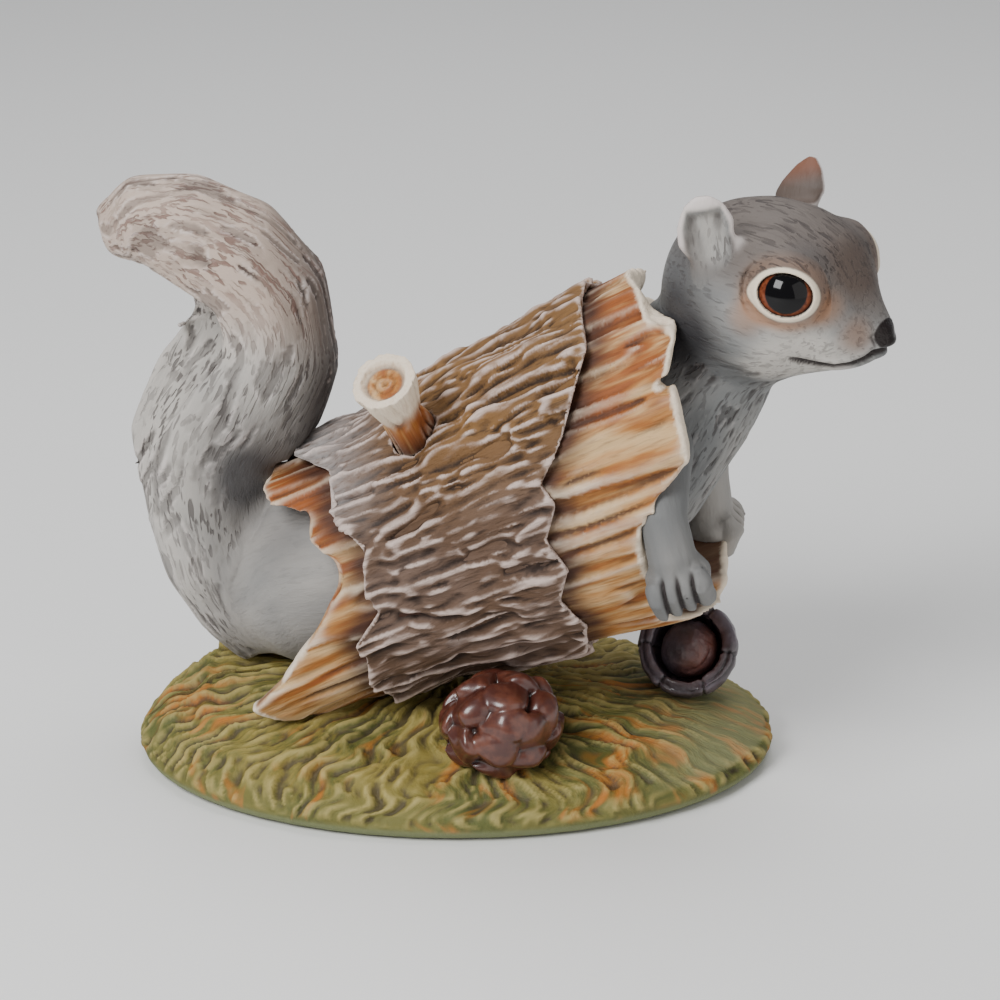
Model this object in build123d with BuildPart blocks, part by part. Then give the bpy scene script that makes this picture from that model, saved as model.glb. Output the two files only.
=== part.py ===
from build123d import *
import os
from math import cos, pi, radians, sin

os.makedirs("parts", exist_ok=True)

# Squirrel coming out of a hollow log, a hand-painted bisque porcelain figurine.
# X runs to the squirrel's nose, Y to the back, Z up, from the middle of the foot.
# All lengths are in millimetres and all angles in degrees.

# Fits shared by every joint of the assembly
lute_gap = 0.15
overrun = 4.0

# Facets round a large form and round a small one
body_sides = 24
small_sides = 16
bark_sides = 32

# Grass mound
base_length = 123.0
base_depth = 85.0
mound_height = 17.0
vent_diameter = 7.0
vent_depth = 4.0

# Hollow log
log_length = 63.0
log_radius = 32.5
log_wall = 4.5
log_pitch = 24.6
log_yaw = 6.0
log_setback = 22.0
log_bed = 5.5
bark_thickness = 1.4
bark_ridge = 0.75

# Broken branch
stub_length = 20.5
stub_radius = 4.3
stub_flare = 1.8
stub_tenon_radius = 2.6
pith_depth = 1.2

# Squirrel's body
neck_radius = 13.0
head_length = 47.5
head_width = 34.0
head_height = 33.0
head_yaw = 32.0
head_pitch = 5.0
eye_radius = 6.0
eyelid_height = 0.8
nose_radius = 3.0
ear_height = 15.0
ear_width = 11.0
ear_thickness = 5.0
arm_radius = 5.0
paw_radius = 5.6
finger_radius = 1.8

# Tail
tail_height = 84.0
tail_width = 32.0
tail_thickness = 34.0
tail_turn = 20.0

# Pine cone and nut
cone_length = 22.0
cone_radius = 11.2
cone_breadth = 1.14
cone_sides = 8
husk_radius = 10.0
husk_wall = 2.6
kernel_radius = 5.8


def ring(plane, size, sides, first=0):
    """The corners of an oval section on its plane, from a share of a corner on."""
    turns = [2 * pi * (corner + first) / sides for corner in range(sides)]
    return [plane.from_local_coords((size[0] * cos(turn), size[1] * sin(turn), 0)) for turn in turns]


def facet(*corners):
    """A flat face between corners."""
    return Face(Wire.make_polygon(corners))


def facets(rings):
    """A closed solid of flat facets through rings with the same number of corners."""
    faces = [facet(*reversed(rings[0])), facet(*rings[-1])]
    for near, far in zip(rings, rings[1:]):
        for corner in range(len(near)):
            before = corner - 1
            faces.append(facet(near[before], near[corner], far[corner]))
            faces.append(facet(near[before], far[corner], far[before]))
    return Solid(Shell(faces))


def stack(planes, sizes, sides):
    """A faceted solid through oval sections, each on its own plane."""
    return facets([ring(plane, size, sides) for plane, size in zip(planes, sizes)])


def skin(centres, sizes, side, sides=body_sides):
    """A faceted solid whose oval sections stand square to a path of centres."""
    planes = []
    for index, centre in enumerate(centres):
        before = centres[max(index - 1, 0)]
        after = centres[min(index + 1, len(centres) - 1)]
        planes.append(Plane(origin=centre, x_dir=side, z_dir=after - before))
    return stack(planes, sizes, sides)


# A ball's sections from its back to its front: places and radii as shares of its radius
ball_shares = (
    (-1.00, 0.06),
    (-0.92, 0.39),
    (-0.71, 0.71),
    (-0.38, 0.92),
    (0.00, 1.00),
    (0.38, 0.92),
    (0.71, 0.71),
    (0.92, 0.39),
    (1.00, 0.06),
)
ball_middle = 4


def ball(plane, radius, first=0, sides=small_sides):
    """A faceted ball about a plane's origin, or the part of it from one section on."""
    shares = ball_shares[first:]
    planes = [plane.offset(along * radius) for along, _ in shares]
    return stack(planes, [(wide * radius, wide * radius) for _, wide in shares], sides)


def grown(sizes, gap):
    """The same section sizes with a joint's gap all round."""
    return [(width + gap, height + gap) for width, height in sizes]


# The mound's sections as shares of its height, length and depth, and their shifts
mound_shares = (
    (0.00, 0.955, 0.940, 0.00, 0.00),
    (0.08, 0.990, 0.985, 0.00, 0.00),
    (0.18, 1.000, 1.000, 0.00, 0.00),
    (0.32, 0.985, 0.975, 0.00, 0.00),
    (0.46, 0.935, 0.915, -0.01, 0.01),
    (0.58, 0.860, 0.820, -0.03, 0.02),
    (0.70, 0.730, 0.680, -0.07, 0.04),
    (0.82, 0.570, 0.520, -0.12, 0.07),
    (0.92, 0.420, 0.370, -0.18, 0.11),
    (1.00, 0.270, 0.240, -0.24, 0.15),
)
mound_planes = [
    Plane(origin=(along * base_length, back * base_depth, high * mound_height))
    for high, _, _, along, back in mound_shares
]
mound_sizes = [(long * base_length / 2, deep * base_depth / 2) for _, long, deep, _, _ in mound_shares]
mound_form = stack(mound_planes, mound_sizes, 2 * body_sides)

with BuildPart() as base_mound:
    add(mound_form)
    with Locations(Plane.XY.offset(vent_depth)):
        with Locations((base_length / 4, 0)):
            Hole(vent_diameter / 2, depth=vent_depth)

# The log's frame: u along its axis, v square to it and up, w towards the front
log_u = Vector(
    cos(radians(log_pitch)) * cos(radians(log_yaw)),
    -cos(radians(log_pitch)) * sin(radians(log_yaw)),
    sin(radians(log_pitch)),
)
log_w = Vector(-sin(radians(log_yaw)), -cos(radians(log_yaw)), 0)
log_v = log_w.cross(log_u)
rear_radius_share = 0.78
log_start = Vector(-log_setback, 0, mound_height + log_radius * rear_radius_share - log_bed)
log_side = Plane(origin=log_start, x_dir=log_u, z_dir=log_w)


def log_point(u, v, w):
    """A point in the log's own frame."""
    return log_start + log_u * u + log_v * v + log_w * w


# Along the log as a share of its length, and radius as a share of the mouth's
log_shares = (
    (-0.42, 0.86),
    (-0.20, 0.80),
    (0.00, rear_radius_share),
    (0.25, 0.785),
    (0.60, 0.89),
    (1.00, 1.00),
    (1.35, 1.07),
)


def log_form(inset):
    """The whole log's round form, drawn in by an inset."""
    centres = [log_point(along * log_length, 0, 0) for along, _ in log_shares]
    sizes = [(share * log_radius - inset, share * log_radius - inset) for _, share in log_shares]
    return skin(centres, sizes, log_w)


# Torso and rump: along, up and forward offsets and half sizes, as shares of the
# log's length and of its bore
bore_radius = log_radius - log_wall
torso_shares = (
    (-0.33, -0.06, -0.22, 0.36, 0.40),
    (-0.25, -0.02, -0.20, 0.54, 0.58),
    (-0.12, 0.03, -0.16, 0.62, 0.64),
    (0.08, -0.02, -0.06, 0.66, 0.66),
    (0.38, -0.06, 0.00, 0.70, 0.70),
    (0.72, -0.10, 0.00, 0.78, 0.76),
    (0.98, 0.12, 0.00, 0.72, 0.67),
)
# Neck: along, up and forward offsets as before, half sizes as shares of the neck
neck_shares = (
    (1.10, 0.24, 0.00, 1.36, 1.28),
    (1.21, 0.38, 0.02, 1.16, 1.22),
    (1.33, 0.54, 0.05, 1.00, 1.06),
    (1.45, 0.70, 0.08, 0.85, 0.85),
)
torso_centres = [
    log_point(u * log_length, v * bore_radius, w * bore_radius)
    for u, v, w, _, _ in torso_shares + neck_shares
]
torso_sizes = [(wide * bore_radius, high * bore_radius) for _, _, _, wide, high in torso_shares]
torso_sizes += [(wide * neck_radius, high * neck_radius) for _, _, _, wide, high in neck_shares]
torso_form = skin(torso_centres, torso_sizes, log_w)
torso_seat = skin(torso_centres, grown(torso_sizes, lute_gap), log_w)

# Head frame: forward to the nose, left to the animal's own left, up the crown
head_forward = Vector(
    cos(radians(head_yaw)) * cos(radians(head_pitch)),
    -sin(radians(head_yaw)) * cos(radians(head_pitch)),
    -sin(radians(head_pitch)),
)
head_left = Vector(sin(radians(head_yaw)), cos(radians(head_yaw)), 0)
head_up = head_forward.cross(head_left)
head_centre = torso_centres[-1] + head_up * (0.11 * head_height) + head_forward * (0.075 * head_length)


def head_point(forward, left, up):
    """A point in the head's frame, as shares of its length, half width and half height."""
    return (
        head_centre
        + head_forward * (forward * head_length)
        + head_left * (left * head_width / 2)
        + head_up * (up * head_height / 2)
    )


# Skull to muzzle: forward, up, half width and half height as shares of the head
head_shares = (
    (-0.360, 0.12, 0.34, 0.40),
    (-0.300, 0.12, 0.68, 0.72),
    (-0.170, 0.09, 0.92, 0.96),
    (0.000, 0.12, 1.05, 1.06),
    (0.150, 0.16, 1.08, 1.01),
    (0.270, 0.12, 0.98, 0.86),
    (0.370, 0.015, 0.68, 0.61),
    (0.470, -0.03, 0.42, 0.41),
    (0.550, 0.00, 0.24, 0.21),
)
head_centres = [head_point(forward, 0, up) for forward, up, _, _ in head_shares]
head_sizes = [(wide * head_width / 2, high * head_height / 2) for _, _, wide, high in head_shares]
head_form = skin(head_centres, head_sizes, head_left)

# Eyes: forward, sideways and up shares of the eye's middle, and where it looks
eye_place_shares = (0.235, 0.69, 0.485)
eyelid_share = 0.62
eye_look_shares = (0.38, 0.90, 0.22)


def eye_plane(hand):
    """The plane of one eye, at its ball's middle and facing out of the head."""
    forward, left, up = eye_place_shares
    look = (
        head_forward * eye_look_shares[0]
        + head_left * (hand * eye_look_shares[1])
        + head_up * eye_look_shares[2]
    )
    return Plane(origin=head_point(forward, hand * left, up), x_dir=head_forward, z_dir=look)


def ear_frame(hand):
    """An ear's root inside the skull, its way up, its way across and its way out."""
    root = head_point(-0.05, hand * 0.86, 0.60)
    rise = (head_up * 0.92 + head_left * (hand * 0.30) - head_forward * 0.10).normalized()
    across = head_forward * 0.76 - head_left * (hand * 0.50)
    return root, rise, across, rise.cross(across).normalized() * -hand


def ear_form(hand, gap):
    """A leaf-shaped ear, rooted inside the skull; a gap makes its seat."""
    ear_shares = (
        (-0.30, 0.50, 0.80),
        (0.00, 0.85, 0.95),
        (0.30, 1.00, 0.90),
        (0.60, 0.86, 0.70),
        (0.85, 0.52, 0.50),
        (1.00, 0.14, 0.25),
    )
    root, rise, across, _ = ear_frame(hand)
    centres = [root + rise * (up * ear_height) for up, _, _ in ear_shares]
    sizes = [(wide * ear_width / 2 + gap, thick * ear_thickness / 2 + gap) for _, wide, thick in ear_shares]
    return skin(centres, sizes, across, small_sides)


def ear_cup(hand):
    """The scooped inside of an ear."""
    cup_shares = (
        (0.10, 0.30, 0.50),
        (0.35, 0.66, 0.75),
        (0.62, 0.56, 0.66),
        (0.84, 0.26, 0.40),
    )
    root, rise, across, out = ear_frame(hand)
    centres = [root + rise * (up * ear_height) + out * (ear_thickness * 0.52) for up, _, _ in cup_shares]
    sizes = [(wide * ear_width / 2, thick * ear_thickness / 2) for _, wide, thick in cup_shares]
    return skin(centres, sizes, across, small_sides)


def arm_form(path, gap):
    """A foreleg from shoulder to wrist, and its paw."""
    arm_shares = (1.45, 1.10, 0.86, 0.90, 1.00)
    sizes = [(share * arm_radius + gap, share * arm_radius + gap) for share in arm_shares]
    return skin(path, sizes, log_w.cross(log_v), small_sides)


# Forelegs: along, up and forward places of shoulder, elbow, wrist and paw, as
# shares of the log's length and of its mouth
right_arm_shares = (
    (1.07, 0.22, 0.42),
    (1.06, 0.10, 0.72),
    (1.03, -0.10, 0.89),
    (1.01, -0.30, 0.93),
    (1.00, -0.44, 0.90),
)
left_arm_shares = (
    (1.15, 0.10, -0.24),
    (1.13, -0.20, -0.36),
    (1.10, -0.44, -0.45),
    (1.07, -0.60, -0.50),
    (1.05, -0.72, -0.52),
)


def arm_path(shares):
    """The points of one foreleg's middle line."""
    return [log_point(u * log_length, v * log_radius, w * log_radius) for u, v, w in shares]


right_path = arm_path(right_arm_shares)
left_path = arm_path(left_arm_shares)

# Torso, with the shoulders' seats left to the forelegs
with BuildPart() as torso:
    add(torso_form)
    add(mound_form, mode=Mode.SUBTRACT)

# Broken ends of the log, as shares of its length and mouth radius
rear_near_shares = (
    (-0.05, 1.20),
    (-0.02, 0.80),
    (-0.065, 0.73),
    (-0.04, 0.655),
    (0.08, 0.56),
    (0.05, 0.44),
    (0.11, 0.26),
    (0.085, 0.15),
    (-0.02, -0.02),
    (-0.09, -0.12),
    (-0.20, -0.26),
    (-0.33, -0.365),
    (-0.28, -0.50),
    (-0.20, -0.62),
    (-0.24, -1.20),
)
rear_far_shares = (
    (-0.05, 1.20),
    (-0.02, 0.80),
    (0.05, 0.60),
    (-0.04, 0.42),
    (0.06, 0.20),
    (-0.02, 0.00),
    (0.04, -0.20),
    (-0.12, -0.36),
    (-0.05, -0.50),
    (-0.20, -0.62),
    (-0.24, -1.20),
)
front_near_shares = (
    (1.14, 1.30),
    (1.18, 0.87),
    (1.25, 0.80),
    (1.19, 0.63),
    (1.12, 0.60),
    (1.20, 0.55),
    (1.17, 0.19),
    (1.03, 0.03),
    (0.99, -0.20),
    (0.97, -0.34),
    (0.91, -0.62),
    (0.88, -0.84),
    (1.01, -0.98),
    (1.01, -1.30),
)
front_far_shares = (
    (1.14, 1.30),
    (1.18, 0.87),
    (1.10, 0.72),
    (1.16, 0.50),
    (1.08, 0.34),
    (1.17, 0.10),
    (1.10, -0.12),
    (1.13, -0.34),
    (1.04, -0.52),
    (1.08, -0.76),
    (1.05, -0.92),
    (1.01, -0.98),
    (1.01, -1.30),
)
rear_limit_share = -0.60
front_limit_share = 1.60


def beyond(shares, limit):
    """The outline of everything past one broken end of the log."""
    points = [(u * log_length, v * log_radius) for u, v in shares]
    points += [(limit * log_length, shares[-1][1] * log_radius)]
    points += [(limit * log_length, shares[0][1] * log_radius)]
    return points


def broken_ends(rear_near, rear_far, front_near, front_far):
    """What breaks off a log-shaped form at its two ragged ends, near side and far side."""
    with BuildPart() as waste:
        for outline, way in (
            (beyond(rear_near, rear_limit_share), 1),
            (beyond(rear_far, rear_limit_share), -1),
            (beyond(front_near, front_limit_share), 1),
            (beyond(front_far, front_limit_share), -1),
        ):
            with BuildSketch(log_side):
                with BuildLine():
                    Polyline(outline, close=True)
                make_face()
            extrude(amount=way * (log_radius + 2 * overrun))
    return waste.part


log_outside = log_form(0)
log_bore = log_form(log_wall)
log_clear = log_form(-lute_gap)
bark_clear = log_form(-bark_thickness - bark_ridge - lute_gap)
wood_waste = broken_ends(rear_near_shares, rear_far_shares, front_near_shares, front_far_shares)

# Branch: where it grows on the log and which way it points
branch_share = 0.455
branch_angle = 29.0
branch_normal = log_v * cos(radians(branch_angle)) + log_w * sin(radians(branch_angle))
branch_point = log_point(branch_share * log_length, 0, 0) + branch_normal * (rear_radius_share * log_radius)
branch_way = branch_normal * 0.93 + log_u * 0.10 + log_w * 0.12
branch_plane = Plane(origin=branch_point, x_dir=log_w, z_dir=branch_way)

with BuildPart() as log_wood:
    add(log_outside)
    add(log_bore, mode=Mode.SUBTRACT)
    add(wood_waste, mode=Mode.SUBTRACT)
    add(torso_seat, mode=Mode.SUBTRACT)
    add(arm_form(right_path, lute_gap), mode=Mode.SUBTRACT)
    add(arm_form(left_path, lute_gap), mode=Mode.SUBTRACT)
    add(mound_form, mode=Mode.SUBTRACT)
    with BuildSketch(branch_plane):
        Circle(stub_tenon_radius + lute_gap)
    extrude(amount=log_wall, both=True, mode=Mode.SUBTRACT)

# Ragged edges of the bark, as shares of the log's length and mouth radius
bark_rear_near_shares = (
    (-0.02, 1.30),
    (0.02, 0.84),
    (0.17, 0.71),
    (0.15, 0.54),
    (0.215, 0.32),
    (0.17, 0.12),
    (0.18, -0.04),
    (0.06, -0.20),
    (0.07, -0.30),
    (0.03, -0.50),
    (0.05, -0.68),
    (0.02, -1.30),
)
bark_rear_far_shares = (
    (-0.02, 1.30),
    (0.02, 0.84),
    (0.12, 0.60),
    (0.05, 0.40),
    (0.16, 0.18),
    (0.09, -0.05),
    (0.14, -0.30),
    (0.04, -0.52),
    (0.08, -0.68),
    (0.02, -1.30),
)
bark_front_near_shares = (
    (1.04, 1.30),
    (1.05, 0.88),
    (0.98, 0.72),
    (0.90, 0.52),
    (0.80, 0.35),
    (0.82, 0.22),
    (0.75, 0.05),
    (0.77, -0.16),
    (0.70, -0.34),
    (0.72, -0.60),
    (0.64, -0.86),
    (0.62, -1.30),
)
bark_front_far_shares = (
    (1.04, 1.30),
    (1.05, 0.88),
    (0.96, 0.64),
    (1.00, 0.44),
    (0.90, 0.22),
    (0.95, 0.00),
    (0.84, -0.24),
    (0.88, -0.46),
    (0.74, -0.70),
    (0.64, -0.86),
    (0.62, -1.30),
)
bark_waste = broken_ends(
    bark_rear_near_shares, bark_rear_far_shares, bark_front_near_shares, bark_front_far_shares
)

# Main ridges of the bark: the places of its sections as shares of the log's length,
# and heights round a section, repeated, as shares of a ridge
bark_station_shares = (-0.42, -0.15, -0.02, 0.11, 0.24, 0.37, 0.50, 0.63, 0.76, 0.89, 1.02, 1.35)
bark_height_shares = (1.0, -0.40, 0.70, -0.25, 0.90, -0.10, 0.55, -0.45, 0.80, 0.10, 1.0, -0.35)
bark_drift = 5


def log_radius_at(along):
    """The log's radius at a share of its length."""
    for (near, first), (far, last) in zip(log_shares, log_shares[1:]):
        if along <= far:
            return log_radius * (first + (last - first) * (along - near) / (far - near))
    return log_radius * log_shares[-1][1]


def bark_form():
    """The log's round form under its bark, with long ridges and grooves."""
    rings = []
    for row, along in enumerate(bark_station_shares):
        plane = Plane(origin=log_point(along * log_length, 0, 0), x_dir=log_w, z_dir=log_u)
        corners = []
        for corner in range(bark_sides):
            turn = 2 * pi * corner / bark_sides
            share = bark_height_shares[(corner + bark_drift * (row // 2)) % len(bark_height_shares)]
            reach = log_radius_at(along) + bark_thickness + share * bark_ridge
            corners.append(plane.from_local_coords((reach * cos(turn), reach * sin(turn), 0)))
        rings.append(corners)
    return facets(rings)


with BuildPart() as bark_jacket:
    add(bark_form())
    add(log_clear, mode=Mode.SUBTRACT)
    add(bark_waste, mode=Mode.SUBTRACT)
    add(mound_form, mode=Mode.SUBTRACT)
    with BuildSketch(branch_plane):
        Circle(stub_radius + 2 * lute_gap)
    extrude(amount=2 * bark_thickness + log_wall, both=True, mode=Mode.SUBTRACT)

# Branch stub: a tapering stem with a sawn end, dished at the pith, on a tenon
stub_planes = [branch_plane.offset(share * stub_length) for share in (-0.15, 0.10, 0.55, 0.88, 1.00)]
stub_radii = [stub_radius + share * stub_flare for share in (0.30, 0.10, 0.00, 0.85, 1.00)]
with BuildPart() as branch_stub:
    add(stack(stub_planes, [(radius, radius) for radius in stub_radii], small_sides))
    add(log_clear, mode=Mode.SUBTRACT)
    with BuildSketch(branch_plane.offset(log_wall)):
        Circle(stub_tenon_radius)
    extrude(amount=-1.5 * log_wall)
    with BuildSketch(branch_plane.offset(stub_length)):
        Circle(stub_radius)
    extrude(amount=-pith_depth, taper=30, mode=Mode.SUBTRACT)

# Tail: middle line and half sizes as shares of its height, width and thickness
tail_shares = (
    (0.040, -0.060, 0.34, 0.28),
    (-0.025, 0.030, 0.40, 0.34),
    (-0.080, 0.130, 0.42, 0.37),
    (-0.103, 0.260, 0.44, 0.40),
    (-0.105, 0.390, 0.48, 0.50),
    (-0.045, 0.520, 0.50, 0.54),
    (0.015, 0.650, 0.50, 0.45),
    (0.008, 0.760, 0.48, 0.41),
    (-0.060, 0.850, 0.45, 0.38),
    (-0.165, 0.915, 0.39, 0.32),
    (-0.265, 0.935, 0.30, 0.24),
    (-0.330, 0.905, 0.17, 0.13),
)
tail_root = torso_centres[1] + Vector(-0.03 * tail_height, 0.03 * tail_width, -0.04 * tail_height)
tail_side = Vector(-sin(radians(tail_turn)), cos(radians(tail_turn)), 0)
tail_centres = [tail_root + Vector(x * tail_height, 0, z * tail_height) for x, z, _, _ in tail_shares]
tail_sizes = [(wide * tail_width, thick * tail_thickness) for _, _, wide, thick in tail_shares]
tail_form = skin(tail_centres, tail_sizes, tail_side)

# Hollow of the tail: how deep its middle lies towards the open side, and its half
# sizes, as shares of the section at each station
hollow_shares = (
    (0.95, 0.15, 0.10),
    (0.90, 0.42, 0.34),
    (0.86, 0.62, 0.56),
    (0.84, 0.68, 0.64),
    (0.88, 0.66, 0.60),
    (0.94, 0.62, 0.48),
    (0.98, 0.52, 0.34),
    (1.00, 0.30, 0.14),
)
hollow_first = 3
hollow_centres = []
hollow_sizes = []
for step, (deep, wide, thick) in enumerate(hollow_shares):
    spot = hollow_first + step
    ahead = (tail_centres[spot + 1] - tail_centres[spot - 1]).normalized()
    inward = ahead.cross(tail_side).normalized()
    hollow_centres.append(tail_centres[spot] + inward * (deep * tail_sizes[spot][1]))
    hollow_sizes.append((wide * tail_sizes[spot][0], thick * tail_sizes[spot][1]))
hollow_form = skin(hollow_centres, hollow_sizes, tail_side)

# Room for the log behind the tail: from just behind its rear edge, as a share of its length
rear_room_share = -0.09
rear_room_plane = Plane(
    origin=log_point(rear_room_share * log_length, 0, 0), x_dir=log_w, z_dir=log_u
)
with BuildPart() as log_room:
    with BuildSketch(rear_room_plane):
        Circle(2 * log_radius)
    extrude(amount=log_length)
    add(bark_clear, mode=Mode.INTERSECT)

with BuildPart() as tail:
    add(tail_form)
    add(hollow_form, mode=Mode.SUBTRACT)
    add(torso_seat, mode=Mode.SUBTRACT)
    add(mound_form, mode=Mode.SUBTRACT)
    add(log_room.part, mode=Mode.SUBTRACT)


def nose_pad():
    """The round end of the muzzle."""
    return ball(Plane(origin=head_point(0.525, 0, -0.02), z_dir=head_forward), nose_radius)


def eyelid(hand):
    """The low collar of an eyelid, cut out later by the socket."""
    plane = eye_plane(hand)
    planes = [plane.offset(share * eye_radius) for share in (0, eyelid_share)]
    planes.append(plane.offset(eyelid_share * eye_radius + eyelid_height))
    rim = eye_radius + eyelid_height
    sizes = [(share * rim, share * rim) for share in (1.12, 0.98, 0.80)]
    return stack(planes, sizes, small_sides)


# Head with its eyelids and nose, bored for the eyes, the neck and both ears
with BuildPart() as head:
    add(head_form)
    add(nose_pad())
    for hand in (1, -1):
        add(eyelid(hand))
    for hand in (1, -1):
        add(ball(eye_plane(hand), eye_radius + lute_gap), mode=Mode.SUBTRACT)
        add(ear_form(hand, lute_gap), mode=Mode.SUBTRACT)
    add(torso_seat, mode=Mode.SUBTRACT)

# Eyes: glazed lenses that fill the sockets, flat behind
with BuildPart() as left_eye:
    add(ball(eye_plane(1), eye_radius, ball_middle))

with BuildPart() as right_eye:
    add(ball(eye_plane(-1), eye_radius, ball_middle))

with BuildPart() as left_ear:
    add(ear_form(1, 0))
    add(ear_cup(1), mode=Mode.SUBTRACT)
    add(torso_seat, mode=Mode.SUBTRACT)

with BuildPart() as right_ear:
    add(ear_form(-1, 0))
    add(ear_cup(-1), mode=Mode.SUBTRACT)
    add(torso_seat, mode=Mode.SUBTRACT)


def finger(path, row, curl, place):
    """One bent finger: from the knuckle over the paw's end and back under it."""
    ahead = (path[-1] - path[-2]).normalized()
    base = path[-1] + row * (place * paw_radius)
    centres = [
        base + curl * (0.62 * paw_radius) - ahead * (0.30 * paw_radius),
        base + curl * (0.80 * paw_radius) + ahead * (0.30 * paw_radius),
        base + curl * (0.45 * paw_radius) + ahead * (0.92 * paw_radius),
        base - curl * (0.15 * paw_radius) + ahead * (1.05 * paw_radius),
    ]
    sizes = [(share * finger_radius, share * finger_radius) for share in (0.7, 1.0, 1.0, 0.6)]
    return skin(centres, sizes, row, small_sides // 2)


finger_shares = (-0.72, -0.24, 0.24, 0.72)

with BuildPart() as right_forelimb:
    add(arm_form(right_path, 0))
    add(ball(Plane(origin=right_path[-1], z_dir=log_v), paw_radius))
    for share in finger_shares:
        add(finger(right_path, log_u, log_w, share))
    add(torso_seat, mode=Mode.SUBTRACT)
    add(log_wood.part, mode=Mode.SUBTRACT)

with BuildPart() as left_forelimb:
    add(arm_form(left_path, 0))
    add(ball(Plane(origin=left_path[-1], z_dir=log_v), paw_radius))
    for share in finger_shares:
        add(finger(left_path, log_w, log_u, share))
    add(torso_seat, mode=Mode.SUBTRACT)
    add(log_wood.part, mode=Mode.SUBTRACT)

# Pine cone: tiers of scales between polygons that turn half a scale each tier
cone_way = Vector(0.30, -0.85, 0.40)
cone_centre = Vector(0.07 * base_length, -0.325 * base_depth, 0.62 * mound_height + 0.66 * cone_radius)
cone_shares = (
    (-0.50, 0.30, 0.0),
    (-0.36, 0.80, 0.0),
    (-0.30, 0.74, 0.5),
    (-0.14, 1.00, 0.5),
    (-0.08, 0.90, 0.0),
    (0.10, 1.00, 0.0),
    (0.16, 0.86, 0.5),
    (0.30, 0.84, 0.5),
    (0.36, 0.62, 0.0),
    (0.50, 0.30, 0.0),
)
cone_across = Vector(0, 0, 1).cross(cone_way)
cone_plane = Plane(origin=cone_centre, x_dir=cone_across, z_dir=cone_way)
cone_rings = []
for along, wide, turn in cone_shares:
    tier = cone_plane.offset(along * cone_length)
    size = (wide * cone_breadth * cone_radius, wide * cone_radius)
    cone_rings.append(ring(tier, size, cone_sides, turn))
with BuildPart() as pine_cone:
    for near, far in zip(cone_rings, cone_rings[1:]):
        ConvexPolyhedron(near + far)
    add(mound_form, mode=Mode.SUBTRACT)
    add(bark_clear, mode=Mode.SUBTRACT)

# Nut in its open husk, lying against the mound under the mouth of the log
husk_way = Vector(-0.20, -0.80, 0.55)
husk_centre = Vector(0.365 * base_length, 0.03 * base_depth, 0.62 * mound_height + 0.92 * husk_radius)
husk_plane = Plane(origin=husk_centre, x_dir=Vector(1, 0, 0), z_dir=husk_way)
with BuildPart() as nut_husk:
    add(ball(husk_plane, husk_radius))
    add(ball(husk_plane, husk_radius - husk_wall), mode=Mode.SUBTRACT)
    split(bisect_by=husk_plane.offset(0.25 * husk_radius), keep=Keep.BOTTOM)
    add(mound_form, mode=Mode.SUBTRACT)
    add(log_clear, mode=Mode.SUBTRACT)

with BuildPart() as nut_kernel:
    add(ball(husk_plane.offset(lute_gap + kernel_radius + husk_wall - husk_radius), kernel_radius))
    add(mound_form, mode=Mode.SUBTRACT)
    add(log_clear, mode=Mode.SUBTRACT)

pieces = {
    "base_mound": base_mound,
    "torso": torso,
    "log_wood": log_wood,
    "bark_jacket": bark_jacket,
    "branch_stub": branch_stub,
    "tail": tail,
    "head": head,
    "left_eye": left_eye,
    "right_eye": right_eye,
    "left_ear": left_ear,
    "right_ear": right_ear,
    "right_forelimb": right_forelimb,
    "left_forelimb": left_forelimb,
    "pine_cone": pine_cone,
    "nut_husk": nut_husk,
    "nut_kernel": nut_kernel,
}
for name, piece in pieces.items():
    piece.part.label = name
    export_step(piece.part, f"parts/{name}.step")
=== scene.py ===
"""Bisque porcelain squirrel coming out of a hollow log, on a grass mound.

Each piece starts as a fine skin over its CAD solids. It is then carved and
painted as the maker does it: relief first, then washes that settle in the
grooves, dry-brushed ridges, brush strokes and glaze. Some shade and a lip
highlight are painted in as well. Places are in millimetres.
"""

import logging
import math
from dataclasses import dataclass
from typing import Dict, Optional, Sequence, Tuple, Union

import bmesh
import bpy
import numpy as np
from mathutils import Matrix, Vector
from mathutils.bvhtree import BVHTree


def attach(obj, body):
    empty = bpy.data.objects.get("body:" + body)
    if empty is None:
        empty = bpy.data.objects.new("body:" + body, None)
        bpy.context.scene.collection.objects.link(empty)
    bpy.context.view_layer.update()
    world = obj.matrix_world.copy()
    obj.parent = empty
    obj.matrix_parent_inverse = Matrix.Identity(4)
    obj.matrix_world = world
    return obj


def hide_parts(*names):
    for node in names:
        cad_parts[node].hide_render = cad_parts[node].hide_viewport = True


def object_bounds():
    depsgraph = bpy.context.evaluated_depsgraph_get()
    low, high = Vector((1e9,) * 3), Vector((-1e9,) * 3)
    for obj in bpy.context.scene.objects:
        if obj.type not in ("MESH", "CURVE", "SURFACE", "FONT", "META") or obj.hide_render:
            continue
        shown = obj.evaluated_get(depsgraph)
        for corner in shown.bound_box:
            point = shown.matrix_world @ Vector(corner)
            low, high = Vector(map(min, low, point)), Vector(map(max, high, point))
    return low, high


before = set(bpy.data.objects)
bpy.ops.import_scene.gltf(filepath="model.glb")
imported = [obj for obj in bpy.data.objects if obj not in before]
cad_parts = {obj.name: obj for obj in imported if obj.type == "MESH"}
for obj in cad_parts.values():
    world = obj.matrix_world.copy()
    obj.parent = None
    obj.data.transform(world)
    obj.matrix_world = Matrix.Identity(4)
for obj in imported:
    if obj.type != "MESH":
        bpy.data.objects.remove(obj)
CAD_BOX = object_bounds()

LOG = logging.getLogger("squirrel")
MM = 0.001
FAR = 99.0
Triple = Tuple[float, float, float]
Colour = Tuple[float, float, float, float]
Socket = bpy.types.NodeSocket
Amount = Union[float, "Number"]
Array = np.ndarray


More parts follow.
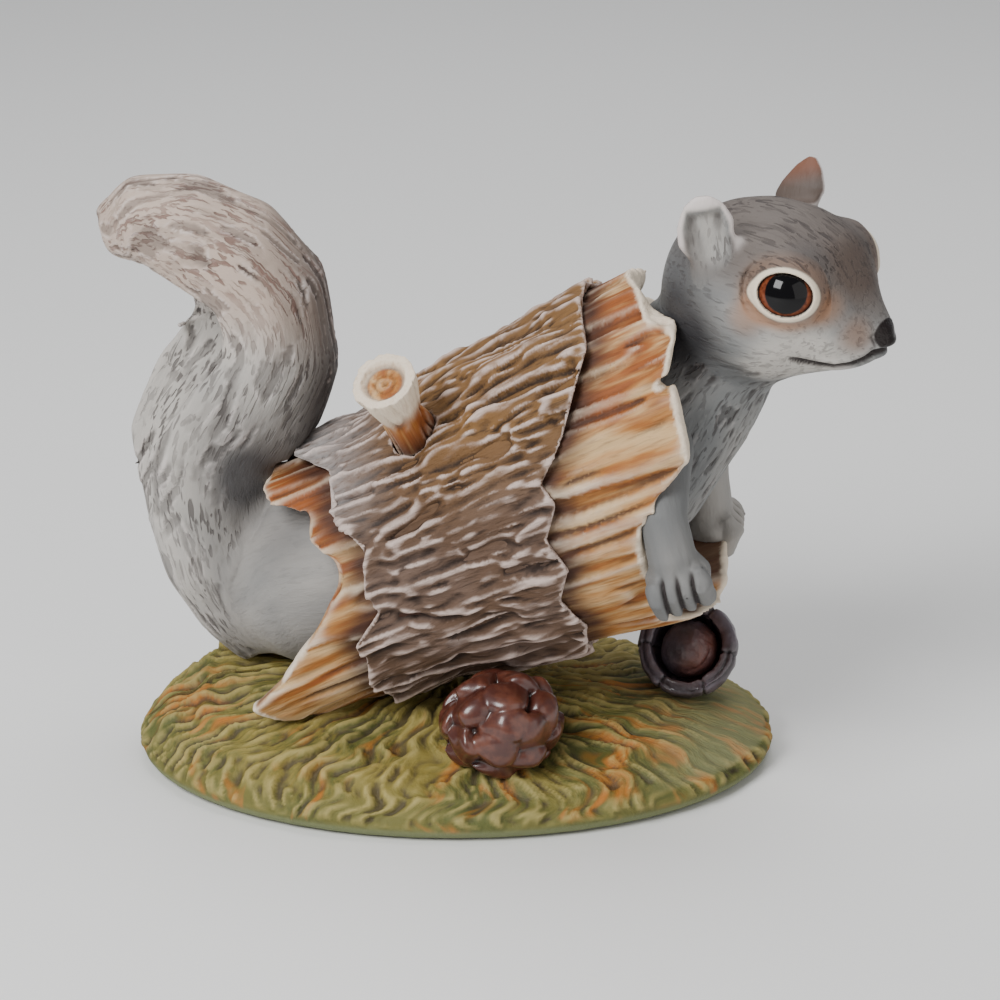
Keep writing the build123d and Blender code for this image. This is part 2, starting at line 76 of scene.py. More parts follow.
def tint(red: int, green: int, blue: int) -> Colour:
    """A paint colour from screen values 0 to 255, as linear light."""
    shares = [channel / 255 for channel in (red, green, blue)]
    linear = [s / 12.92 if s <= 0.04045 else ((s + 0.055) / 1.055) ** 2.4 for s in shares]
    return (linear[0], linear[1], linear[2], 1.0)


def unit(vector: Sequence[float]) -> Array:
    """The same direction with a length of one."""
    array = np.asarray(vector, dtype=float)
    return array / np.linalg.norm(array)


def ramp(values: Array, low: float, high: float) -> Array:
    """A smooth step from 0 at low to 1 at high."""
    share = np.clip((values - low) / (high - low), 0.0, 1.0)
    return share * share * (3.0 - 2.0 * share)


def bell(values: Array, width: float) -> Array:
    """1 at zero, falling softly to almost nothing at twice the width."""
    return np.exp(-((values / width) ** 2))


def apart(points: Array, stroke: Sequence[Triple]) -> Array:
    """How far each point lies from a stroke through some places."""
    line = np.asarray(stroke, dtype=float)
    best = np.full(len(points), np.inf)
    for start, end in zip(line[:-1], line[1:]):
        way = end - start
        share = np.clip(((points - start) @ way) / (way @ way), 0.0, 1.0)
        best = np.minimum(best, np.linalg.norm(points - start - share[:, None] * way, axis=1))
    return best


def distance(points: Array, place: Sequence[float]) -> Array:
    """How far each point lies from a place."""
    return np.linalg.norm(points - place, axis=1)


def linked(name: str, data: object) -> bpy.types.Object:
    """A new object in the scene."""
    thing = bpy.data.objects.new(name, data)
    bpy.context.scene.collection.objects.link(thing)
    return thing


def vectors(items: bpy.types.bpy_prop_collection, field: str) -> Array:
    """One vector of each item of a mesh, as rows."""
    flat = np.empty(len(items) * 3)
    items.foreach_get(field, flat)
    return flat.reshape(-1, 3)


def gap_to(node: str, points: Array) -> Array:
    """How far each place lies from a CAD node, in metres."""
    tree = BVHTree.FromObject(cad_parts[node], bpy.context.evaluated_depsgraph_get())
    return np.array([tree.find_nearest(Vector(place))[3] for place in points * MM])


@dataclass(frozen=True)
class Grain:
    """Seeded smooth noise, worked out on whole arrays of points."""

    seed: int = 1

    def lattice(self, cells: Array) -> Array:
        """A fixed random number from -1 to 1 for each lattice cell."""
        key = cells.astype(np.int64)
        mixed = key[:, 0] * 374761393 + key[:, 1] * 668265263 + key[:, 2] * 1440662683 + self.seed * 97531
        mixed = mixed & 0xFFFFFFFF
        mixed = ((mixed ^ (mixed >> 13)) * 1274126177) & 0xFFFFFFFF
        mixed = ((mixed ^ (mixed >> 15)) * 2246822519) & 0xFFFFFFFF
        return ((mixed ^ (mixed >> 16)) & 0xFFFFFF) / 8388607.5 - 1.0

    def at(self, points: Array) -> Array:
        """Smooth noise from -1 to 1 at each point."""
        base = np.floor(points)
        part = points - base
        part = part * part * part * (part * (part * 6.0 - 15.0) + 10.0)
        total = np.zeros(len(points))
        for corner in range(8):
            step = np.array([corner & 1, (corner >> 1) & 1, (corner >> 2) & 1])
            share = np.prod(np.where(step, part, 1.0 - part), axis=1)
            total += share * self.lattice(base + step)
        return total

    def warp(self, points: Array) -> Array:
        """Noise in two layers, the second finer and fainter, as a column."""
        return (self.at(points) + Grain(self.seed + 17).at(points * 2.03) * 0.5)[:, None]

    def lines(self, points: Array, width: float) -> Array:
        """Thin wandering lines: 1 on a line, 0 away from it."""
        return bell(self.at(points), width)

    def dashes(self, points: Array, low: float = 0.12, high: float = 0.5) -> Array:
        """Separate strokes, long where the points are stretched: 1 in a stroke, 0 between."""
        return ramp(self.at(points), low, high)


@dataclass(frozen=True)
class Course:
    """A middle line through a limb, which gives points their place along and about it."""

    points: Sequence[Triple]
    side: Triple

    def fine(self, steps: int = 6) -> Array:
        """The course as many short runs on a smooth line through its points."""
        place = np.asarray(self.points, dtype=float)
        padded = np.vstack([2 * place[0] - place[1], place, 2 * place[-1] - place[-2]])
        out = []
        for index in range(1, len(padded) - 2):
            before, start, end, after = padded[index - 1 : index + 3]
            bend = 2 * before - 5 * start + 4 * end - after
            twist = 3 * start - before - 3 * end + after
            for step in range(steps):
                t = step / steps
                out.append(0.5 * (2 * start + (end - before) * t + bend * t**2 + twist * t**3))
        out.append(place[-1])
        return np.array(out)

    def locate(self, points: Array) -> Array:
        """Each point's place in the limb: along, across and up from the nearest run."""
        line = self.fine()
        best = np.full(len(points), np.inf)
        flow = np.zeros((len(points), 3))
        run = 0.0
        for start, end in zip(line[:-1], line[1:]):
            way = end - start
            length = np.linalg.norm(way)
            way = way / length
            side = np.asarray(self.side, dtype=float)
            side = unit(side - way * (side @ way))
            up = np.cross(way, side)
            offset = points - start
            along = np.clip(offset @ way, 0.0, length)
            rest = offset - along[:, None] * way
            gap = np.linalg.norm(rest, axis=1)
            nearer = gap < best
            best[nearer] = gap[nearer]
            reach = run + (offset[nearer] @ way)
            flow[nearer] = np.stack([reach, rest[nearer] @ side, rest[nearer] @ up], axis=1)
            run += length
        return flow


@dataclass(frozen=True)
class Frame:
    """A piece's own frame: its middle and its three ways in the figurine."""

    middle: Triple
    first: Triple
    second: Triple
    third: Triple

    def rows(self) -> Array:
        """The three ways as rows."""
        return np.array([self.first, self.second, self.third])

    def point(self, local: Sequence[float]) -> Array:
        """A place in the figurine."""
        return self.middle + np.asarray(local) @ self.rows()

    def way(self, local: Sequence[float]) -> Array:
        """A direction in the figurine."""
        return np.asarray(local, dtype=float) @ self.rows()

    def local(self, points: Array) -> Array:
        """Places seen from this frame."""
        return (points - self.middle) @ self.rows().T

    def outward(self, points: Array, normals: Array) -> Array:
        """How far each normal faces away from the first way's axis, from -1 to 1."""
        local = self.local(points)
        radial = local[:, 1:] / np.maximum(np.linalg.norm(local[:, 1:], axis=1), 1e-6)[:, None]
        return ((normals @ self.rows().T)[:, 1:] * radial).sum(axis=1)


def upright(middle: Triple, way: Triple) -> Frame:
    """A frame whose first way is given and whose second way is level."""
    first = unit(way)
    side = unit(np.cross(first, (0.0, 0.0, 1.0)))
    return Frame(middle, first, side, np.cross(first, side))


# The head's frame looks forward to the nose, to its left and up to the crown
HEAD = Frame(
    (55.5, -12.1, 96.0),
    (0.844821, -0.527903, -0.087156),
    (0.529919, 0.848048, 0.0),
    (0.073912, -0.046186, 0.996195),
)
# The log's frame looks along the log to its mouth, up and to the near side
LOG_FRAME = Frame(
    (-22.0, 0.0, 36.85),
    (0.904255, -0.095041, 0.416281),
    (-0.414, 0.043513, 0.909236),
    (-0.104528, -0.994522, 0.0),
)
LOG_WAY = np.asarray(LOG_FRAME.first)


class Clay:
    """A fine skin over copies of CAD solids, shaped in millimetres."""

    def __init__(self, name: str, nodes: Sequence[str], mesh_width: float, swell: float = 0.0) -> None:
        """Lays the skin.

        Args:
            name: the piece's name.
            nodes: the CAD nodes it covers.
            mesh_width: the skin's mesh width.
            swell: how far each solid is grown first, so that luted joints close.
        """
        self.nodes = list(nodes)
        joined = bmesh.new()
        for node in nodes:
            part = bmesh.new()
            part.from_mesh(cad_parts[node].data)
            bmesh.ops.remove_doubles(part, verts=part.verts, dist=1e-6)
            part.normal_update()
            for vert in part.verts:
                vert.co += vert.normal * swell * MM
            held = bpy.data.meshes.new("held")
            part.to_mesh(held)
            part.free()
            joined.from_mesh(held)
            bpy.data.meshes.remove(held)
        mesh = bpy.data.meshes.new(name)
        joined.to_mesh(mesh)
        joined.free()
        self.object = linked(name, mesh)
        self.skin(mesh_width)

    def skin(self, mesh_width: float) -> None:
        """Remeshes the object at one mesh width."""
        modifier = self.object.modifiers.new("Skin", "REMESH")
        modifier.mode = "VOXEL"
        modifier.voxel_size = mesh_width * MM
        evaluated = self.object.evaluated_get(bpy.context.evaluated_depsgraph_get())
        fresh = bpy.data.meshes.new_from_object(evaluated)
        self.object.modifiers.clear()
        old = self.object.data
        self.object.data = fresh
        bpy.data.meshes.remove(old)
        self.read()

    def refine(self, centres: Sequence[Tuple[Sequence[float], float]]) -> None:
        """Halves the mesh width inside some balls of a centre and a radius."""
        bm = bmesh.new()
        bm.from_mesh(self.object.data)
        edges = set()
        for centre, radius in centres:
            middle = Vector(centre) * MM
            for face in bm.faces:
                if (face.calc_center_median() - middle).length < radius * MM:
                    edges.update(face.edges)
        bmesh.ops.subdivide_edges(bm, edges=list(edges), cuts=1, use_grid_fill=True)
        bm.to_mesh(self.object.data)
        bm.free()
        self.read()

    def read(self) -> None:
        """Reads places and edges from the mesh."""
        mesh = self.object.data
        self.count = len(mesh.vertices)
        self.co = vectors(mesh.vertices, "co") / MM
        pairs = np.empty(len(mesh.edges) * 2, dtype=np.int64)
        mesh.edges.foreach_get("vertices", pairs)
        self.edges = pairs.reshape(-1, 2)
        self.sense()

    def sense(self) -> None:
        """Writes the places to the mesh and reads the normals."""
        mesh = self.object.data
        mesh.vertices.foreach_set("co", (self.co * MM).ravel())
        mesh.update()
        self.normal = vectors(mesh.vertex_normals, "vector")

    def averaged(
        self, rounds: int, weight: Union[float, Array] = 0.5, values: Optional[Array] = None
    ) -> Array:
        """The places, or other values, after some rounds of averaging with the neighbours."""
        now = (self.co if values is None else values).copy()
        flat = now.ndim == 1
        if flat:
            now = now[:, None]
        first, second = self.edges.T
        share = np.bincount(first, minlength=self.count) + np.bincount(second, minlength=self.count)
        share = np.maximum(share, 1)[:, None]
        pull = weight[:, None] if isinstance(weight, np.ndarray) else weight
        for _ in range(rounds):
            columns = []
            for column in now.T:
                total = np.bincount(first, column[second], self.count)
                columns.append(total + np.bincount(second, column[first], self.count))
            now += pull * (np.stack(columns, axis=1) / share - now)
        return now[:, 0] if flat else now

    def smooth(self, rounds: int, weight: Union[float, Array] = 0.5) -> None:
        """Smooths the skin."""
        self.co = self.averaged(rounds, weight)
        self.sense()

    def push(self, amount: Union[float, Array]) -> None:
        """Moves the skin out along its normals, or in where the amount is negative."""
        self.co = self.co + self.normal * np.broadcast_to(amount, (self.count,))[:, None]
        self.sense()

    def raised(self, rounds: int) -> Array:
        """How far each place stands proud of its surroundings."""
        return ((self.co - self.averaged(rounds)) * self.normal).sum(axis=1)

    def hold_in(self) -> None:
        """Keeps the skin inside the CAD's box."""
        self.co = np.clip(self.co, *[np.asarray(corner) / MM for corner in CAD_BOX])
        self.sense()

    def keep(self, **kept: Array) -> None:
        """Stores named numbers or vectors on the mesh for its paint."""
        attributes = self.object.data.attributes
        for name, values in kept.items():
            single = values.ndim == 1
            kind = "FLOAT" if single else "FLOAT_VECTOR"
            attribute = attributes.get(name) or attributes.new(name, kind, "POINT")
            attribute.data.foreach_set("value" if single else "vector", values.astype(np.float32).ravel())

    def finish(self, material: bpy.types.Material) -> None:
        """Dresses the piece and stands it in for its CAD nodes."""
        self.hold_in()
        dress(self.object, self.nodes, material)


def dress(piece: bpy.types.Object, nodes: Sequence[str], material: bpy.types.Material) -> None:
    """Gives a piece its paint and its body, and hides the CAD nodes it stands for."""
    piece.data.materials.clear()
    piece.data.materials.append(material)
    for polygon in piece.data.polygons:
        polygon.use_smooth = True
    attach(piece, "root")
    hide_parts(*nodes)
    LOG.info("%s: %d faces", piece.name, len(piece.data.polygons))


class Number:
    """A number that varies over a surface, held as a node's output."""

    def __init__(self, paint: "Paint", socket: Socket) -> None:
        """Wraps one socket of a paint's tree."""
        self.paint = paint
        self.socket = socket

    def __add__(self, other: Amount) -> "Number":
        """Sum."""
        return self.paint.maths("ADD", self, other)

    def __radd__(self, other: Amount) -> "Number":
        """Sum."""
        return self.paint.maths("ADD", other, self)

    def __sub__(self, other: Amount) -> "Number":
        """Difference."""
        return self.paint.maths("SUBTRACT", self, other)

    def __rsub__(self, other: Amount) -> "Number":
        """Difference."""
        return self.paint.maths("SUBTRACT", other, self)

    def __mul__(self, other: Amount) -> "Number":
        """Product."""
        return self.paint.maths("MULTIPLY", self, other)

    def __rmul__(self, other: Amount) -> "Number":
        """Product."""
        return self.paint.maths("MULTIPLY", other, self)

    def step(self, low: float, high: float) -> "Number":
        """A smooth step from 0 at low to 1 at high."""
        values = {"Value": self, "From Min": low, "From Max": high, "To Min": 0.0, "To Max": 1.0}
        settings = {"interpolation_type": "SMOOTHSTEP", "clamp": True}
        return Number(self.paint, self.paint.node("ShaderNodeMapRange", settings, values).outputs[0])

    def most(self, other: Amount) -> "Number":
        """The larger of two numbers."""
        return self.paint.maths("MAXIMUM", self, other)


class Paint:
    """One material's node tree, written as expressions."""

    def __init__(self, name: str) -> None:
        """Starts a material with one principled shader."""
        self.material = bpy.data.materials.new(name)
        self.material.use_nodes = True
        self.tree = self.material.node_tree
        self.tree.nodes.clear()
        self.shader = self.tree.nodes.new("ShaderNodeBsdfPrincipled")
        out = self.tree.nodes.new("ShaderNodeOutputMaterial")
        self.tree.links.new(self.shader.outputs["BSDF"], out.inputs["Surface"])

    def node(self, kind: str, settings: Dict[str, object], values: Dict[object, object]) -> bpy.types.Node:
        """Adds one node.

        Args:
            kind: the node's type.
            settings: its own settings, set first.
            values: numbers, colours or links for its sockets, by name or index.

        Returns:
            The node.
        """
        node = self.tree.nodes.new(kind)
        for key, value in settings.items():
            setattr(node, key, value)
        for key, value in values.items():
            self.feed(node.inputs[key], value)
        return node

    def feed(self, socket: Socket, value: object) -> None:
        """Links a socket or sets its constant."""
        if isinstance(value, Number):
            self.tree.links.new(value.socket, socket)
        elif isinstance(value, Socket):
            self.tree.links.new(value, socket)
        else:
            socket.default_value = value

    def maths(self, operation: str, *values: Amount) -> Number:
        """One Math node on numbers."""
        node = self.node("ShaderNodeMath", {"operation": operation}, dict(enumerate(values)))
        return Number(self, node.outputs[0])

    def number(self, name: str) -> Number:
        """A number kept on the mesh."""
        return Number(self, self.node("ShaderNodeAttribute", {"attribute_name": name}, {}).outputs["Fac"])

    def vector(self, name: str) -> Socket:
        """A vector kept on the mesh."""
        return self.node("ShaderNodeAttribute", {"attribute_name": name}, {}).outputs["Vector"]

    def place(self) -> Socket:
        """The place on the object, in metres."""
        return self.node("ShaderNodeTexCoord", {}, {}).outputs["Object"]

    def noise(
        self,
        vector: Socket,
        stretch: Triple,
        detail: float = 3.0,
        warp: float = 0.0,
        shift: Triple = (0.0, 0.0, 0.0),
    ) -> Number:
        """Noise from 0 to 1.

        Args:
            vector: where it is read.
            stretch: how many times the vector's axes are stretched first.
            detail: how many finer layers it has.
            warp: how far it is distorted.
            shift: how far the vector is moved.

        Returns:
            The noise.
        """
        moved = self.node("ShaderNodeMapping", {}, {"Vector": vector, "Scale": stretch, "Location": shift})
        values = {"Vector": moved.outputs["Vector"], "Scale": 1.0, "Detail": detail, "Distortion": warp}
        return Number(self, self.node("ShaderNodeTexNoise", {}, values).outputs[0])

    def mix(self, share: Amount, first: object, second: object) -> Socket:
        """A colour between two."""
        settings = {"data_type": "RGBA", "blend_type": "MIX", "clamp_factor": True}
        return self.node("ShaderNodeMix", settings, {0: share, 6: first, 7: second}).outputs[2]

    def lay(self, ground: object, *coats: Tuple[Amount, object]) -> Socket:
        """Lays coats over a ground, each with its share and its colour, in their order."""
        for share, colour in coats:
            ground = self.mix(share, ground, colour)
        return ground

    def bump(self, height: Number, depth: float) -> Socket:
        """A normal from a height, and how deep it goes."""
        values = {"Height": height, "Distance": depth * MM, "Strength": 1.0}
        return self.node("ShaderNodeBump", {}, values).outputs["Normal"]

    def close(
        self, colour: object, roughness: Amount, normal: Optional[Socket] = None, **plain: Amount
    ) -> bpy.types.Material:
        """Feeds the shader and gives back the material."""
        self.feed(self.shader.inputs["Base Color"], colour)
        self.feed(self.shader.inputs["Roughness"], roughness)
        if normal is not None:
            self.feed(self.shader.inputs["Normal"], normal)
        for key, value in plain.items():
            self.feed(self.shader.inputs[key.replace("_", " ")], value)
        return self.material


@dataclass(frozen=True)
class FurPaint:
    """Matte painted fur: airbrushed greys under fine brush strokes, with some painted shade and a painted
    highlight on the lower lip.
    """

    grey: Colour = tint(116, 118, 118)
    pale: Colour = tint(186, 181, 174)
    blush: Colour = tint(184, 162, 146)
    # Dark grey: the fur's own airbrushing, and also painted shade under the head, down the tail and in the
    # hollow by the rump.
    smoke: Colour = tint(46, 45, 48)
    crown: Colour = tint(88, 76, 69)
    tan: Colour = tint(150, 106, 72)
    stroke: Colour = tint(48, 41, 40)
    rose: Colour = tint(112, 82, 72)
    rust: Colour = tint(136, 72, 36)
    nose: Colour = tint(24, 15, 14)
    cream: Colour = tint(228, 213, 190)
    white: Colour = tint(214, 204, 200)

    def material(self) -> bpy.types.Material:
        """Builds the paint along the flow of the fur."""
        paint = Paint("fur_paint")
        number = paint.number
        flow = paint.vector("flow")
        rosy = number("rosy")
        cloud = paint.noise(flow, (0.05, 0.11, 0.11))
        speck = paint.noise(flow, (0.5, 1.6, 1.6))
        long_line = paint.noise(flow, (0.10, 0.80, 0.80), 2.0, 0.9).step(0.55, 0.65)
        dash = paint.noise(flow, (0.26, 1.15, 1.15), 1.0, 0.4, (7.0, 3.0, 1.0)).step(0.57, 0.65)
        patch = paint.noise(flow, (0.10, 0.16, 0.16), 2.0, 0.0, (3.1, 0.7, 1.9)).step(0.38, 0.6)
        stroke = (long_line * (patch * 0.6 + rosy * 0.4)).most(dash * (patch * 0.5 + 0.4)) * number("strokes")
        body = paint.lay(
            self.grey,
            ((number("pale") + (cloud - 0.5) * 0.9).step(0.0, 1.0), self.pale),
            (rosy * 0.8, self.blush),
            (number("crown"), self.crown),
            # Dark grey airbrush, and painted shade.
            (number("smoke"), self.smoke),
            (number("warm"), self.tan),
            (number("rust"), self.rust),
            (stroke * rosy * 0.9, self.rose),
            (stroke * (1.0 - rosy) * 0.85, self.stroke),
            (number("groove"), self.stroke),
            # Dry-brushed white, and the painted highlight on the lower lip.
            (number("ridge"), self.white),
            (number("ring"), self.cream),
            (number("nose"), self.nose),
        )
        rough = 0.62 - number("nose") * 0.3 + (cloud - 0.5) * 0.15
        height = (speck - 0.5) * 0.5 - stroke * 0.9
        return paint.close(body, rough, paint.bump(height, 0.25), Specular_IOR_Level=0.35)


@dataclass(frozen=True)
class LensGlaze:
    """Glazed eye: black pupil, brown iris and a dark outline under clear gloss."""

    pupil: Colour = tint(8, 7, 9)
    iris: Colour = tint(84, 38, 24)
    amber: Colour = tint(122, 62, 36)
    rim: Colour = tint(22, 13, 12)
    pupil_radius: float = 3.6

    def material(self) -> bpy.types.Material:
        """Builds the glaze from the lens's own coordinates."""
        paint = Paint("lens_glaze")
        lens = paint.vector("lens")
        split = paint.node("ShaderNodeSeparateXYZ", {}, {"Vector": lens})
        across = Number(paint, split.outputs[0])
        up = Number(paint, split.outputs[1])
        from_pupil = paint.maths("SQRT", (across - 0.1) * (across - 0.1) + (up - 0.4) * (up - 0.4))
        edge = paint.maths("SQRT", across * across * 0.04 + up * up * 0.0660)
        fleck = paint.noise(lens, (1.4, 1.4, 1.4))
        iris = paint.mix(fleck.step(0.3, 0.7), self.iris, self.amber)
        body = paint.lay(
            self.pupil,
            (from_pupil.step(self.pupil_radius, self.pupil_radius + 0.25), iris),
            (edge.step(0.88, 1.0), self.rim),
        )
        return paint.close(body, 0.1, Coat_Weight=0.3, Coat_Roughness=0.03, Specular_IOR_Level=0.12)


@dataclass(frozen=True)
class WoodPaint:
    """Matte split wood: cream ground, ochre and orange streaks, white rims."""

    cream: Colour = tint(196, 162, 116)
    ochre: Colour = tint(168, 112, 50)
    orange: Colour = tint(140, 76, 30)
    brown: Colour = tint(62, 34, 20)
    white: Colour = tint(228, 212, 190)
    mauve: Colour = tint(100, 74, 66)

    def material(self, name: str) -> bpy.types.Material:
        """Builds the paint along the grain."""
        paint = Paint(name)
        number = paint.number
        grain = paint.vector("grain")
        broad = paint.noise(grain, (0.035, 0.12, 0.12))
        streak = paint.noise(grain, (0.05, 0.40, 0.40), 3.0, 0.3, (2.7, 1.1, 0.4))
        fine = paint.noise(grain, (0.12, 1.5, 1.5))
        body = paint.lay(
            self.cream,
            ((broad * 0.6 + streak * 0.6).step(0.44, 0.66), self.ochre),
            ((streak * 0.7 + broad * 0.5 + number("warm") * 0.14).step(0.56, 0.76), self.orange),
            (fine.step(0.5, 0.7) * 0.3, self.brown),
            (number("inside"), self.mauve),
            (number("shade") * (0.55 + streak), self.brown),
            (number("groove"), self.brown),
            (number("ridge") * (0.35 + fine * 0.6), self.white),
            (number("rim") * (0.6 + fine), self.white),
        )
        height = (fine - 0.5) * 0.8 + (streak - 0.5) * 0.8
        return paint.close(body, 0.66 + (fine - 0.5) * 0.2, paint.bump(height, 0.3), Specular_IOR_Level=0.35)


@dataclass(frozen=True)
class BarkPaint:
    """Matte bark: brown and mauve, golden above, dark in the crevices, dry-brushed pink-white."""

    brown: Colour = tint(88, 66, 50)
    mauve: Colour = tint(104, 84, 72)
    golden: Colour = tint(122, 88, 48)
    dark: Colour = tint(34, 22, 17)
    pink: Colour = tint(202, 182, 172)
    chalk: Colour = tint(190, 186, 184)

    def material(self) -> bpy.types.Material:
        """Builds the paint along the grain."""
        paint = Paint("bark_paint")
        number = paint.number
        grain = paint.vector("grain")
        broad = paint.noise(grain, (0.05, 0.1, 0.1))
        thread = paint.noise(grain, (0.13, 1.1, 1.1), 4.0, 0.2)
        fine = paint.noise(grain, (0.45, 1.6, 1.6), 4.0)
        brushed = (number("ridge") * (0.15 + thread + fine * 0.5)).step(0.22, 1.05)
        body = paint.lay(
            self.brown,
            (broad.step(0.35, 0.65), self.mauve),
            (number("warm") * (0.3 + broad), self.golden),
            (thread.step(0.54, 0.72) * 0.6, self.dark),
            (number("groove"), self.dark),
            (brushed * 0.95, self.pink),
            (number("frost") * (fine + 0.2).step(0.35, 0.8), self.chalk),
        )
        height = (fine - 0.5) * 0.7 + (thread - 0.5) * 1.4
        return paint.close(body, 0.72 + (fine - 0.5) * 0.2, paint.bump(height, 0.4), Specular_IOR_Level=0.3)


@dataclass(frozen=True)
class GrassPaint:
    """Matte grass: yellow-olive locks, brown washes and warm touches."""

    olive: Colour = tint(134, 120, 58)
    straw: Colour = tint(178, 162, 100)
    green: Colour = tint(84, 88, 42)
    wash: Colour = tint(66, 56, 42)
    ochre: Colour = tint(176, 106, 36)
    lip: Colour = tint(116, 122, 84)
    mist: Colour = tint(146, 146, 112)

    def material(self) -> bpy.types.Material:
        """Builds the paint along the locks."""
        paint = Paint("grass_paint")
        number = paint.number
        locks = paint.vector("grain")
        broad = paint.noise(paint.place(), (48.0, 48.0, 48.0))
        fine = paint.noise(locks, (1.3, 0.35, 0.9), 4.0)
        touch = paint.noise(locks, (0.20, 0.055, 0.1), 2.0, 0.5, (5.0, 2.0, 1.0))
        body = paint.lay(
            self.olive,
            ((broad + (fine - 0.5) * 0.3).step(0.42, 0.62), self.green),
            (number("low"), self.green),
            ((touch * 0.7 + broad * 0.4).step(0.58, 0.72) * 0.85, self.ochre),
            (number("groove"), self.wash),
            (number("ridge") * (0.35 + fine), self.straw),
            (number("plain") * (0.4 + fine * 0.5), self.mist),
            (number("lip"), self.lip),
        )
        rough = 0.68 + (fine - 0.5) * 0.2
        return paint.close(body, rough, paint.bump(fine - 0.5, 0.3), Specular_IOR_Level=0.35)


@dataclass(frozen=True)
class ConeGlaze:
    """Glossy chestnut glaze that pools dark in the hollows."""

    chestnut: Colour = tint(70, 33, 25)
    tan: Colour = tint(110, 62, 44)
    dark: Colour = tint(22, 10, 9)

    def material(self) -> bpy.types.Material:
        """Builds the glaze."""
        paint = Paint("cone_glaze")
        place = paint.vector("grain")
        fine = paint.noise(place, (0.7, 0.7, 0.7), 4.0)
        broad = paint.noise(place, (0.18, 0.18, 0.18), 2.0)
        body = paint.lay(
            self.chestnut,
            ((fine * 0.5 + broad * 0.6).step(0.46, 0.72) * 0.7, self.tan),
            (paint.number("ridge") * 0.45, self.tan),
            (paint.number("groove"), self.dark),
        )
        rough = 0.34 + (broad - 0.5) * 0.2
        relief = paint.bump(fine - 0.5, 0.06)
        return paint.close(body, rough, relief, Coat_Weight=0.35 + broad * 0.2, Coat_Roughness=0.16)


@dataclass(frozen=True)
class NutPaint:
    """Satin slate-brown nut paint with warm and purple touches."""

    slate: Colour = tint(60, 51, 56)
    purple: Colour = tint(92, 82, 92)
    warm: Colour = tint(112, 62, 48)
    dark: Colour = tint(20, 13, 15)
    pale: Colour = tint(140, 126, 130)

    def material(self, name: str) -> bpy.types.Material:
        """Builds the paint."""
        paint = Paint(name)
        place = paint.vector("grain")
        broad = paint.noise(place, (0.12, 0.12, 0.12))
        fine = paint.noise(place, (0.8, 0.8, 0.8), 4.0)
        body = paint.lay(
            self.slate,
            (broad.step(0.4, 0.62), self.purple),
            (paint.number("warm") * (0.4 + fine), self.warm),
            (paint.number("groove"), self.dark),
            (paint.number("ridge") * (0.1 + fine * 0.7), self.pale),
        )
        return paint.close(body, 0.45 + (fine - 0.5) * 0.3, paint.bump(fine - 0.5, 0.3), Coat_Weight=0.3)


@dataclass(frozen=True)
class Eye:
    """One eye: a glazed lens behind painted lids. The hand is 1 on the far side, -1 on the near one."""

    hand: int
    lid_drop: float
    place: Triple = (11.2, 11.7, 8.0)
    look: Triple = (0.38, 0.90, 0.22)
    radius: float = 6.0
    half_length: float = 5.0
    half_height: float = 3.9
    cap_start: float = 0.8
    lid_radius: float = 7.5
    floor_drop: float = 1.0
    lid_reach: float = 13.0
    corner_turn: float = 2.95

    def own_frame(self) -> Frame:
        """The eyeball's frame: ahead, up and outward."""
        flip = np.array([1.0, self.hand, 1.0])
        out = unit(HEAD.way(self.look * flip))
        ahead = HEAD.way((1.0, 0.0, 0.0))
        ahead = unit(ahead - out * (ahead @ out))
        return Frame(HEAD.point(self.place * flip), ahead, np.cross(out, ahead) * -self.hand, out)

    def open_lids(self, points: Array) -> Tuple[Array, Array, Array]:
        """Raises the lids round the lens and opens them.

        Args:
            points: places on the skin.

        Returns:
            The new places, the mask of the pale ring, and how far each place lies from the
            middle of the opening, as a share of it.
        """
        own = self.own_frame()
        ahead, up, out = own.local(points).T
        reach = np.hypot(ahead, up)
        share = np.hypot(ahead / self.half_length, up / self.half_height)
        front = (out > 0.5) & (reach < self.lid_reach)
        lid = np.sqrt(np.maximum(self.lid_radius**2 - reach**2, 0.0)) - self.lid_drop
        floor = np.sqrt(np.maximum(self.radius**2 - reach**2, 0.0)) - self.floor_drop
        goal = lid + (floor - lid) * (1.0 - ramp(share, 0.92, 1.04)) + 0.3 * bell(share - 1.12, 0.12)
        pull = np.where(front, 1.0 - ramp(share, 1.2, 1.8), 0.0)
        turn = np.arctan2(up, ahead)
        outer = 1.23 + 0.16 * bell(turn + self.corner_turn - 6.2832 * (turn > 0.5), 0.30)
        ring = np.where(front, 1.0 - ramp(share, outer - 0.04, outer + 0.05), 0.0)
        return points + (pull * (goal - out))[:, None] * own.third, ring, np.where(front, share, FAR)

    def lens(self, glaze: bpy.types.Material) -> None:
        """Models the glazed lens, a cap of a ball that is closed behind."""
        name = "left_eye" if self.hand > 0 else "right_eye"
        bm = bmesh.new()
        bmesh.ops.create_uvsphere(bm, u_segments=96, v_segments=64, radius=self.radius)
        cut = bm.verts[:] + bm.edges[:] + bm.faces[:]
        bmesh.ops.bisect_plane(
            bm, geom=cut, plane_co=(0, 0, self.cap_start), plane_no=(0, 0, 1), clear_inner=True
        )
        bmesh.ops.holes_fill(bm, edges=[edge for edge in bm.edges if edge.is_boundary])
        bmesh.ops.recalc_face_normals(bm, faces=bm.faces)
        mesh = bpy.data.meshes.new(name + "_lens")
        bm.to_mesh(mesh)
        bm.free()
        own = self.own_frame()
        local = vectors(mesh.vertices, "co")
        attribute = mesh.attributes.new("lens", "FLOAT_VECTOR", "POINT")
        attribute.data.foreach_set("vector", local.astype(np.float32).ravel())
        mesh.vertices.foreach_set("co", (own.point(local) * MM).ravel())
        if np.linalg.det(own.rows()) < 0:
            mesh.flip_normals()
        mesh.update()
        dress(linked(name + "_lens", mesh), [name], glaze)


